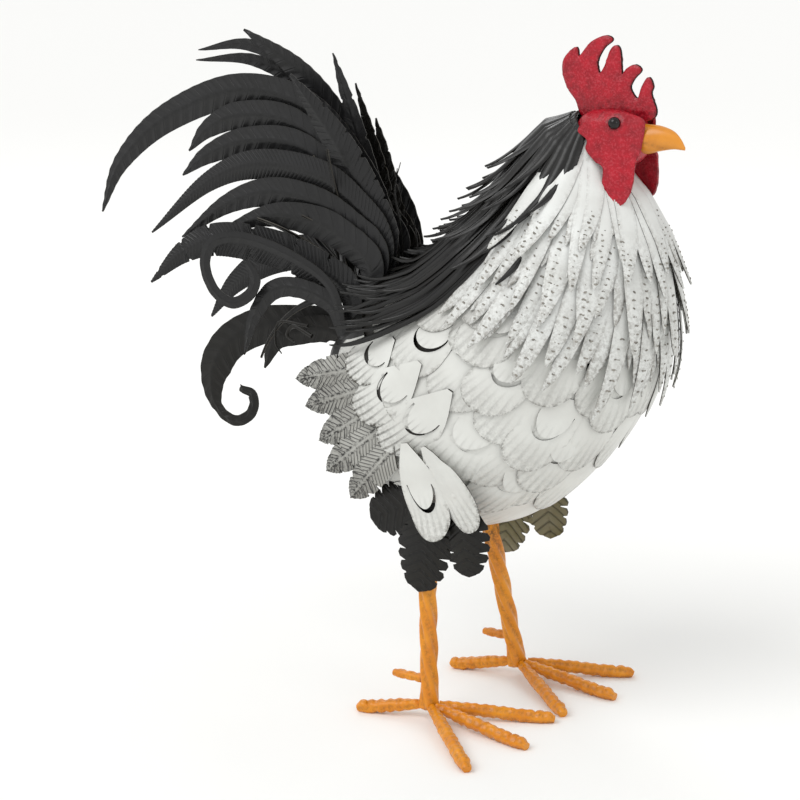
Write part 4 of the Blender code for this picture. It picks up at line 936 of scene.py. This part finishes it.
# Tail
# Twenty blades of charcoal-enamelled sheet, folded along the middle and pressed with slanting
# barbs, fan out from the back in layers. The lower ones end in curled bands.
TAIL_CENTRE = (-0.085, 0.390)
TAIL_FAN = 1.8
TAIL_LAYER = 0.0046
TAIL_FOLD = math.tan(math.radians(9.0))
TAIL_STEM = 0.0075
CURL_WIDTH = 0.0110
CURLS = {"tail_loop_curl": 0.0, "tail_hook_curl": 0.58}
TAIL = (
    ("tail_spear_top", 0.6, 0.034, 5.3,
     ((-0.102, 0.433), (-0.129, 0.484), (-0.158, 0.534), (-0.202, 0.580), (-0.264, 0.615))),
    ("tail_thin_upper", 1.7, 0.017, 5.4,
     ((-0.110, 0.440), (-0.155, 0.525), (-0.205, 0.580), (-0.265, 0.600), (-0.324, 0.592))),
    ("tail_thin_lower", 2.8, 0.017, 5.6,
     ((-0.110, 0.435), (-0.155, 0.512), (-0.205, 0.562), (-0.265, 0.585), (-0.333, 0.581))),
    ("tail_sickle_long", -2.2, 0.033, 5.3,
     ((-0.094, 0.430), (-0.122, 0.490), (-0.180, 0.547), (-0.260, 0.559), (-0.345, 0.527), (-0.401, 0.480), (-0.426, 0.429))),
    ("tail_sickle_second", -3.3, 0.030, 5.5,
     ((-0.092, 0.425), (-0.130, 0.484), (-0.190, 0.532), (-0.250, 0.537), (-0.289, 0.522), (-0.312, 0.499))),
    ("tail_sickle_third", -4.4, 0.030, 5.7,
     ((-0.090, 0.420), (-0.126, 0.472), (-0.180, 0.512), (-0.239, 0.514), (-0.285, 0.498), (-0.315, 0.476))),
    ("tail_blade_oval", -5.5, 0.039, 5.2,
     ((-0.091, 0.440), (-0.110, 0.479), (-0.139, 0.526), (-0.184, 0.581))),
    ("tail_sickle_fourth", -6.6, 0.031, 5.9,
     ((-0.085, 0.430), (-0.116, 0.468), (-0.154, 0.490), (-0.220, 0.495), (-0.276, 0.474), (-0.342, 0.420))),
    ("tail_sickle_fifth", -7.7, 0.031, 6.1,
     ((-0.087, 0.420), (-0.116, 0.446), (-0.150, 0.464), (-0.201, 0.471), (-0.250, 0.456), (-0.302, 0.420))),
    ("tail_leaf", -8.8, 0.032, 6.4,
     ((-0.092, 0.411), (-0.120, 0.436), (-0.150, 0.448), (-0.198, 0.450), (-0.254, 0.431))),
    ("tail_herringbone", -9.9, 0.036, 7.0,
     ((-0.112, 0.385), (-0.140, 0.403), (-0.185, 0.419), (-0.249, 0.424), (-0.290, 0.409), (-0.328, 0.376))),
    ("tail_upright_front", -0.5, 0.021, 5.3,
     ((-0.084, 0.430), (-0.108, 0.460), (-0.124, 0.505), (-0.142, 0.555), (-0.158, 0.599))),
    ("tail_upright_middle", 3.9, 0.019, 5.2,
     ((-0.090, 0.427), (-0.112, 0.456), (-0.126, 0.502), (-0.151, 0.569))),
    ("tail_upright_rear", 5.0, 0.017, 5.1,
     ((-0.088, 0.426), (-0.108, 0.458), (-0.121, 0.502), (-0.132, 0.537))),
    ("tail_sickle_small", -11.0, 0.019, 7.6,
     ((-0.128, 0.374), (-0.162, 0.386), (-0.190, 0.381), (-0.210, 0.354), (-0.220, 0.317))),
    ("tail_loop_curl", -12.1, 0.0105, 7.3,
     ((-0.125, 0.392), (-0.165, 0.417), (-0.215, 0.430), (-0.248, 0.424), (-0.258, 0.402),
      (-0.249, 0.378), (-0.230, 0.367), (-0.211, 0.376), (-0.204, 0.392), (-0.212, 0.407))),
    ("tail_hook_curl", -3.0, 0.036, 8.2,
     ((-0.145, 0.352), (-0.192, 0.345), (-0.238, 0.333), (-0.272, 0.313), (-0.290, 0.284),
      (-0.290, 0.257), (-0.278, 0.241), (-0.261, 0.237), (-0.245, 0.248), (-0.244, 0.265), (-0.259, 0.270))),
    ("tail_band_lower", -5.5, 0.026, 8.8,
     ((-0.150, 0.343), (-0.180, 0.338), (-0.206, 0.327), (-0.219, 0.298))),
    ("tail_sickle_far", 6.1, 0.032, 5.6,
     ((-0.092, 0.428), (-0.130, 0.484), (-0.190, 0.530), (-0.250, 0.528), (-0.296, 0.500), (-0.326, 0.466))),
    ("tail_herringbone_far", 7.2, 0.034, 6.6,
     ((-0.112, 0.383), (-0.150, 0.398), (-0.203, 0.402), (-0.262, 0.388), (-0.310, 0.358), (-0.342, 0.320))),
)


def tail_y(layer, x, z):
    """Blades keep to their own layer, and the layers fan apart towards the tips."""
    reach = np.hypot(x - TAIL_CENTRE[0], z - TAIL_CENTRE[1])
    return layer * TAIL_LAYER * (1 + TAIL_FAN * reach)


# Charcoal enamel, sprayed over dark primer and buffed: soft sheen, crests a little paler.
charcoal = enamel(
    "charcoal_enamel_blades", "1D1D1E", "161616", "080808", 0.40, mottle=60.0, ribs=0.35, groove=0.10, stain=0.6,
    coat=0.05, specular=0.35,
)
# Umber-black enamel on the low bands and the far uprights: darker, duller and warmer than the charcoal.
umber = enamel(
    "umber_black_enamel_bands", "100F0C", "16140F", "080706", 0.45, mottle=60.0, ribs=0.35, groove=0.10, stain=0.6,
    specular=0.3,
)
UMBER_BLADES = ("tail_hook_curl", "tail_band_lower", "tail_upright_middle", "tail_upright_rear")
FINE_BARBS = {"tail_herringbone": 0.0042, "tail_herringbone_far": 0.0042, "tail_sickle_fourth": 0.0044, "tail_blade_oval": 0.0070}
CHEVRON = 0.0135
RAGGED = {"tail_blade_oval": 9.0, "tail_upright_front": 7.0, "tail_upright_middle": 8.0, "tail_upright_rear": 6.0, "tail_herringbone": 8.0}
for name, layer, width, rooted, course in TAIL:
    y0 = layer * TAIL_LAYER
    station = smooth_course(STATIONS, rooted)
    turn = 180 - math.degrees(math.asin(min(abs(y0) / station[4], 0.95)))
    root = body_form(rooted, math.copysign(turn, y0))
    line = np.array([(root[0], root[2]), *course])
    spans = len(line) - 1
    curl = CURLS.get(name)

    def blade_centre(s):
        return smooth_course(line, spans * np.asarray(s))

    def blade_half(s):
        s = np.asarray(s)
        if curl is None:
            full = width * (1 - 0.94 * ramp(s, 0.5, 1) ** 2.1)
        else:
            full = (width + (CURL_WIDTH - width) * ramp(s, curl * 0.75, curl + 0.01)) * (1 - 0.4 * ramp(s, 0.9, 1))
        if name in RAGGED:
            full = full * (1 - 0.22 * (np.mod(s * RAGGED[name] + 0.4, 1.0) < 0.09) * (s > 0.3))
        return TAIL_STEM / 2 + (full / 2 - TAIL_STEM / 2) * ramp(s, 0.0, 0.24)

    def blade_face(x, z, share, half):
        fold = half * TAIL_FOLD
        return tail_y(layer, x, z) + math.copysign(1, layer) * (fold * (1 - np.abs(share)) - fold / 2)

    stock = blank()
    finish = umber if name in UMBER_BLADES else charcoal
    strength = 1.0 if curl is None or name == "tail_hook_curl" else 0.4
    barbed_blade(
        stock, blade_centre, blade_half, FINE_BARBS.get(name, CHEVRON), 0.7,
        lambda s, a: 0.5 * ramp(a, 0.9, 1.0) + 0.9 * (a < 0.1) + 0 * s,
        lambda s, a: strength * ramp(a, 0.06, 0.3) * ramp(s, 0.08, 0.2), blade_face, columns=10, steps=4 if name in FINE_BARBS else 8,
    )
    depth = 0.0007 if name in FINE_BARBS else 0.0010
    blade = press_sheet(f"barbed_{name}", stock, finish, cut_edge, tree=pressed_ribs, Depth=depth, Finish=finish)
    fit(blade, "charcoal_enamel", name)

# Narrow strips tucked round the roots of the blades, and wires left standing among them.
TUFT_ROOT = (-0.102, 0.388)
tuft = blank()
for k in range(26):
    rise_angle = math.radians(chance.uniform(98, 172))
    reach = chance.uniform(0.06, 0.125)
    y_root, y_tip = chance.uniform(-0.052, 0.044), chance.uniform(-0.060, 0.050)
    curve = chance.uniform(-0.5, 0.9)
    start = np.array(TUFT_ROOT) + (0.022 * k / 26 - 0.02, 0.016 - 0.035 * k / 26)

    def tuft_centre(s):
        s = np.asarray(s)
        angle = rise_angle + curve * s
        return start + np.stack((np.cos(angle), np.sin(angle)), -1) * (reach * s)[..., None]

    barbed_blade(
        tuft, tuft_centre, lambda s: 0.0034 * (1 - 0.75 * ramp(s, 0.3, 1)), 0.010, 0.3,
        lambda s, a: 0.3 * ramp(a, 0.8, 1.0) + 0 * s, lambda s, a: 0 * s * a,
        lambda x, z, share, half: y_root + (y_tip - y_root) * ramp(np.hypot(x - start[0], z - start[1]), 0, reach) - 0.001 * share ** 2,
        columns=4,
    )
tufts = press_sheet("root_tuft", tuft, strand_black, cut_edge)
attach(tufts, "root")


def bend_wire(name, course, y, radius):
    """A round wire along points of the x, z plane."""
    fine = smooth_course(np.array(course), np.linspace(0, len(course) - 1, 8 * len(course)))
    way = np.gradient(fine, axis=0)
    way /= np.linalg.norm(way, axis=1, keepdims=True)
    angle = np.radians(np.arange(0, 360, 45))
    slim = radius * (1 - 0.6 * np.linspace(0, 1, len(fine)) ** 2)[:, None]
    x = fine[:, :1] - way[:, 1:] * slim * np.cos(angle)
    z = fine[:, 1:] + way[:, :1] * slim * np.cos(angle)
    points = np.stack((x, y + slim * np.sin(angle), z), -1)
    faces = [face[::-1] for face in grid_faces(len(fine), 8, wrap=True)]
    faces.append(tuple(range(8)))
    faces.append(tuple(reversed(range(len(fine) * 8 - 8, len(fine) * 8))))
    wire = make_plain(make_mesh(name, points.reshape(-1, 3), faces, [umber]))
    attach(wire, "root")


WIRES = (
    (((-0.080, 0.405), (-0.086, 0.440), (-0.094, 0.470), (-0.092, 0.496)), 0.004, 0.0010),
    (((-0.080, 0.405), (-0.083, 0.440), (-0.091, 0.475), (-0.084, 0.503)), -0.003, 0.0010),
    (((-0.076, 0.405), (-0.074, 0.425), (-0.078, 0.450)), 0.010, 0.0010),
    (((-0.150, 0.352), (-0.182, 0.352), (-0.187, 0.332), (-0.180, 0.322)), -0.060, 0.0014),
    (((-0.140, 0.345), (-0.160, 0.352), (-0.168, 0.343), (-0.160, 0.337)), -0.068, 0.0022),
)
for k, (course, y, radius) in enumerate(WIRES):
    bend_wire(f"stray_wire_{k + 1}", course, y, radius)


# Head
# The comb is two crimson skins with rough texture, open along their edges; cheek plates with
# ear lobe and wattle are cut from sheet and bent round the head, and the beak is solid.
HEAD_CENTRE = np.array((0.132, 0.0, 0.541))
HEAD_RADII = np.array((0.033, 0.024, 0.0255))
HEAD_SQUARENESS = 2.6


# Crimson enamel stippled while wet: glossy grains, pink where they catch light, dark between.
crimson = enamel(
    "stippled_crimson_enamel", "B00E24", "8E0A1C", "3A060C", 0.34, mottle=9.0, ripple=2.6,
    fleck=("D2505C", 1.9, 0.30), coat=0.1, specular=0.35,
)
fit(ball("skull", HEAD_CENTRE, HEAD_RADII, crimson, 40, 28, HEAD_SQUARENESS), "black_enamel", "head")

COMB_OUTLINE = (
    (-0.024, 0.014), (-0.0365, 0.0310), (-0.0440, 0.0400), (-0.0495, 0.0535),
    (-0.0485, 0.0660), (-0.0385, 0.0762), (-0.0355, 0.0745), (-0.0335, 0.0690),
    (-0.0230, 0.0810), (-0.0110, 0.0873), (-0.0045, 0.0873), (-0.0020, 0.0838), (-0.0100, 0.0770),
    (-0.0160, 0.0650), (-0.0135, 0.0555), (-0.0085, 0.0620), (-0.0035, 0.0755), (0.0020, 0.0800),
    (0.0060, 0.0750), (0.0080, 0.0560), (0.0125, 0.0605), (0.0205, 0.0645), (0.0265, 0.0600),
    (0.0200, 0.0525), (0.0165, 0.0440), (0.0235, 0.0355), (0.0275, 0.0460), (0.0335, 0.0545),
    (0.0380, 0.0470), (0.0365, 0.0400), (0.0415, 0.0270), (0.0395, 0.0200), (0.0305, 0.0160), (0.0240, 0.0160),
)
COMB_HALF = 0.00275
comb_ring = np.array((COMB_OUTLINE[-1], *COMB_OUTLINE, *COMB_OUTLINE[:2])) + HEAD_CENTRE[[0, 2]]
comb_edge = smooth_course(comb_ring, np.arange(1, len(COMB_OUTLINE) + 1, 0.25))
comb_points, comb_faces = cut_sheet(comb_edge, [], 0.0018)
comb_inset = edge_gap(comb_points, comb_edge)
skins = blank()
for sign in (-1, 1):
    swell = COMB_HALF - SHEET / 2 + 0.0022 * ramp(comb_inset, 0, 0.012) - 0.0010 * (1 - ramp(comb_inset, 0, 0.003)) ** 2
    bumps = 0.0004 * chance.uniform(-1, 1, len(comb_points)) * ramp(comb_inset, 0.001, 0.003)
    place = np.stack((comb_points[:, 0], sign * (swell + bumps), comb_points[:, 1]), -1)
    dark = 0.6 * (1 - ramp(comb_inset, 0, 0.0012)) + 0.6 * (1 - ramp(comb_points[:, 1], 0.562, 0.580))
    lay(skins, place, comb_faces, dark, 0.0, 0.0)
comb = press_sheet("two_skin_comb", skins, crimson, core_and_shadow_black)
fit(comb, "crimson_enamel", "comb")


FACE_THICKNESS = 0.0022
FACE_BEND = 0.535
FACE_SPREAD = 0.16
FACE_TURN_X = 0.1465
FACE_TURN = 0.35
EYE_RADIUS = 0.0055
EYE_PLACE = (0.1462, 0.5575)
FACE_ROWS = np.array((
    (0.5655, 0.1340, 0.1500), (0.5640, 0.1320, 0.1590), (0.5615, 0.1305, 0.1645), (0.5588, 0.1285, 0.1668),
    (0.5555, 0.1160, 0.1672), (0.5480, 0.1118, 0.1668), (0.5415, 0.1205, 0.1660), (0.5340, 0.1195, 0.1655),
    (0.5270, 0.1250, 0.1655), (0.5225, 0.1311, 0.1652), (0.5190, 0.1378, 0.1650), (0.5100, 0.1384, 0.1650),
    (0.5000, 0.1393, 0.1638), (0.4935, 0.1412, 0.1612), (0.4890, 0.1440, 0.1580), (0.4868, 0.1480, 0.1540),
))


def face_depth(x, z):
    """How far the cheek plate stands out: it turns in to the beak and the comb, and spreads down the wattle."""
    cheek = HEAD_RADII[1] + 0.0010 + FACE_THICKNESS / 2
    flat = cheek + FACE_SPREAD * np.maximum(FACE_BEND - z, 0) - FACE_TURN * np.maximum(x - FACE_TURN_X, 0)
    flat -= 0.0100 * ramp(x, 0.155, 0.168) ** 1.5 * ramp(z, 0.525, 0.535)
    return flat * (1 - 0.80 * ramp(z, 0.555, 0.572) ** 2)


# The eye is a dark glass bead: a wet highlight on near-black.
bead, bead_tree, bead_shader = new_finish("dark_glass_bead", 0.05, coat=0.2, specular=0.3)
bead_where = add(bead_tree, "ShaderNodeTexCoord").outputs["Object"]
bead_cloud = add(bead_tree, "ShaderNodeTexNoise", {"Vector": bead_where, "Scale": 300.0})
bead_tone = add(bead_tree, "ShaderNodeMix", {0: bead_cloud.outputs[0], 6: paint("050505"), 7: paint("120D0C")}, data_type="RGBA")
bead_tree.links.new(bead_tone.outputs[2], bead_shader.inputs["Base Color"])
for side, sign in (("right", -1), ("left", 1)):
    level = np.linspace(0, len(FACE_ROWS) - 1, 61)
    rows = smooth_course(FACE_ROWS, level)
    share = np.linspace(0, 1, 25)
    x = rows[:, 1:2] + (rows[:, 2:3] - rows[:, 1:2]) * share[None]
    z = np.broadcast_to(rows[:, 0:1], x.shape)
    ring = np.hypot(x - EYE_PLACE[0], z - EYE_PLACE[1])
    puff = 0.0010 * np.exp(-((ring - 0.0078) / 0.0018) ** 2)
    beads = 0.00045 * np.sin(x * 1900) * np.sin(z * 1700) * (1 - ramp(z, 0.515, 0.540))
    y = sign * (face_depth(x, z) + puff + beads)
    border = np.minimum(share, 1 - share)[None] * (rows[:, 2:3] - rows[:, 1:2])
    cheek = blank()
    lay_grid(cheek, np.stack((x, y, z), -1), 0.6 * (1 - ramp(border, 0, 0.0012)) + 0.5 * np.exp(-((ring - 0.0062) / 0.0010) ** 2))
    face = press_sheet(f"cheek_plate_{side}", cheek, crimson, crimson, thickness=FACE_THICKNESS)
    fit(face, "crimson_enamel", f"face_{side}")
    outward = np.array((FACE_TURN, sign, 0)) / math.hypot(FACE_TURN, 1)
    seat = np.array((EYE_PLACE[0], sign * face_depth(*EYE_PLACE), EYE_PLACE[1])) + outward * FACE_THICKNESS / 2
    eye = ball(f"bead_{side}", seat, np.full(3, EYE_RADIUS), bead, 28, 18)
    fit(eye, "dark_bead", f"eye_{side}")

BEAK_HALF_WIDTH = 0.0125
BEAK_PROFILE = np.array((
    (0.150, 0.5555, 0.5400), (0.157, 0.5555, 0.5340), (0.165, 0.5552, 0.5292), (0.178, 0.5545, 0.5325),
    (0.190, 0.5508, 0.5350), (0.197, 0.5445, 0.5350), (0.2012, 0.5378, 0.5348),
))
# Orange enamel with an umber glaze: warm and glossy, brown where the glaze pooled.
beak_orange = enamel("orange_enamel_beak", "DF9020", "D18318", "7A4A12", 0.34, mottle=14.0, coat=0.25)
beak_level = np.linspace(0, 6, 37)
beak_rows = smooth_course(BEAK_PROFILE, beak_level)
beak_sides = np.radians(np.arange(0, 360, 12.0))
beak_share = (beak_rows[:, 0] - BEAK_PROFILE[0, 0]) / (BEAK_PROFILE[-1, 0] - BEAK_PROFILE[0, 0])
beak_width = BEAK_HALF_WIDTH * (1 - 0.93 * np.clip(beak_share, 0, 1) ** 1.8)
beak_mouth = 0.5448 - 0.014 * beak_share
beak_z = (beak_rows[:, 1:2] + beak_rows[:, 2:3]) / 2 + (beak_rows[:, 1:2] - beak_rows[:, 2:3]) / 2 * np.sin(beak_sides)[None]
beak_gape = np.exp(-((beak_z - beak_mouth[:, None]) / 0.0011) ** 2) * (beak_share < 0.8)[:, None]
beak_y = beak_width[:, None] * np.cos(beak_sides)[None] * (1 - 0.10 * beak_gape)
beak_x = np.broadcast_to(beak_rows[:, 0:1], beak_z.shape)
beak_points = np.stack((beak_x, beak_y, beak_z), -1).reshape(-1, 3)
beak_faces = [face[::-1] for face in grid_faces(len(beak_level), len(beak_sides), wrap=True)]
beak_faces.append(tuple(range(len(beak_sides))))
beak_faces.append(tuple(reversed(range(len(beak_points) - len(beak_sides), len(beak_points)))))
beak_wash = (0.45 * beak_gape + 0.15 * (1 - beak_share[:, None])).ravel()
beak = make_plain(make_mesh("hooked_beak", beak_points, beak_faces, [beak_orange], wash=beak_wash))
fit(beak, "orange_enamel", "beak")


# Legs and feet
# Each leg is a forged bar twisted while hot, with four hammered toes and a spur welded on; all
# are sprayed orange and glazed brown in the hollows.
LEG_PLACES = {"right": (-0.0045, -0.079), "left": (0.009, 0.065)}
LEG_LEAN = {"right": (-0.004, 0.0), "left": (-0.030, -0.018)}
LEG_WIDTH = 0.0205
LEG_THICKNESS = 0.0180
LEG_TWIST = 400.0
ANKLE_RADIUS = 0.0118
TOE_ROOT_HEIGHT = 0.0135
TOE_BEAT = 0.0085
TOE_WIDTH = 0.0124
TOES = {
    "right": {"outer": (-44.5, 0.1324), "middle": (-9.7, 0.115), "inner": (27.0, 0.1155), "back": (-165.0, 0.070)},
    "left": {"outer": (29.0, 0.111), "middle": (-6.2, 0.1115), "inner": (-40.3, 0.1185), "back": (-166.0, 0.068)},
}
SPUR_HEIGHT = 0.0380
SPUR_LENGTH = 0.027
SPUR_WIDTH = 0.0085
# Orange enamel over forge-rough bar: bright on the ridges, umber and olive glaze in the hollows.
leg_orange = enamel("orange_enamel_forged", "E29218", "D27C0E", "5E3E0E", 0.36, mottle=22.0, ripple=5.0, coat=0.15, specular=0.4)


def forged(name, line, radii, squash, twist, lobes, dents, floor=None, top_glaze=np.zeros(1)):
    """A closed bar along a line of points, lobed and twisted, with hammer dents."""
    line = np.asarray(line, float)
    rings, sides = len(line), 40
    way = np.gradient(line, axis=0)
    way /= np.linalg.norm(way, axis=1, keepdims=True)
    guide = np.where(np.abs(way[:, 2:3]) > 0.8, np.array((1.0, 0, 0)), np.array((0, 0, 1.0)))
    across = np.cross(way, guide)
    across /= np.linalg.norm(across, axis=1, keepdims=True)
    up = np.cross(across, way)
    angle = np.radians(np.arange(sides) * 360 / sides)[None] + np.zeros((rings, 1))
    lobe = 1 - lobes * (0.5 - 0.5 * np.cos(5 * (angle - np.radians(twist)[:, None])))
    beat = np.arange(rings)[:, None] * 44 / rings
    dent = dents * (np.sin(beat * 0.9 + 2 * angle) + 0.6 * np.sin(beat * 0.37 - angle * 3))
    reach = radii[:, None] * lobe + dent
    points = line[:, None] + across[:, None] * (reach * np.cos(angle))[..., None] + up[:, None] * (reach * squash * np.sin(angle))[..., None]
    if floor is not None:
        points[..., 2] = np.maximum(points[..., 2], floor)
    faces = grid_faces(rings, sides, wrap=True)
    faces.append(tuple(reversed(range(sides))))
    faces.append(tuple(range((rings - 1) * sides, rings * sides)))
    wash = 0.55 * (1 - lobe) / max(lobes, 0.01) * 0.7 + 300 * np.maximum(-dent, 0) + top_glaze[:, None]
    wash = np.clip(wash, 0, 1)
    obj = make_mesh(name, points.reshape(-1, 3), faces, [leg_orange], wash=wash.ravel())
    bm = bmesh.new()
    bm.from_mesh(obj.data)
    bmesh.ops.recalc_face_normals(bm, faces=bm.faces)
    bm.to_mesh(obj.data)
    bm.free()
    return make_plain(obj)


for side in ("right", "left"):
    x, y = LEG_PLACES[side]
    lean = LEG_LEAN[side]
    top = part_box(f"leg_{side}")[1][2]
    s = np.linspace(0, 1, 70)
    height = 0.0095 + (top - 0.0095) * s
    line = np.stack((x + lean[0] * s, y + lean[1] * s, height), -1)
    ankle = np.exp(-((height - 0.015) / 0.009) ** 2)
    radii = LEG_WIDTH / 2 * (0.92 + 0.16 * ankle)
    radii[0] *= 0.6
    leg = forged(
        f"twisted_leg_{side}", line, radii, LEG_THICKNESS / LEG_WIDTH, LEG_TWIST * s, 0.24, 0.00012,
        top_glaze=0.9 * ramp(height, 0.62 * top, top),
    )
    fit(leg, "orange_enamel", f"leg_{side}")
    for toe, (turn, length) in TOES[side].items():
        radius = TOE_WIDTH / 2
        start = ANKLE_RADIUS - 0.003
        s = np.linspace(0, 1, 64)
        reach = start + (length - start) * s
        drop = ramp(reach, start, 0.82 * length)
        height = radius * 0.87 + (TOE_ROOT_HEIGHT - radius * 0.87) * (1 - drop)
        swell = 0.97 + 0.07 * np.sin(reach * 2 * math.pi / TOE_BEAT + turn)
        radii = radius * swell * (0.74 + 0.26 * ramp(s, 0, 0.3)) * (1 - 0.34 * ramp(s, 0.90, 1) ** 2)
        height = np.where(drop >= 1, radii * 0.80, height)
        line = np.stack((x + reach * math.cos(math.radians(turn)), y + reach * math.sin(math.radians(turn)), height), -1)
        bar = forged(f"hammered_toe_{toe}_{side}", line, radii, 1.0, np.zeros(len(s)), 0.05, 0.00028, floor=0.0)
        fit(bar, "orange_enamel", f"toe_{toe}_{side}")
    away = np.array((-1, 0, 0))
    s = np.linspace(0, 1, 24)
    line = np.array((x - LEG_WIDTH * 0.4, y, SPUR_HEIGHT)) + away * (s * (SPUR_LENGTH + LEG_WIDTH * 0.2))[:, None]
    radii = SPUR_WIDTH / 2 * (1 + 0.08 * np.sin(20 * s)) * (1 - 0.35 * ramp(s, 0.80, 1) ** 2)
    spur = forged(f"blunt_spur_{side}", line, radii, 1.0, np.zeros(len(s)), 0.05, 0.00015)
    fit(spur, "orange_enamel", f"spur_{side}")
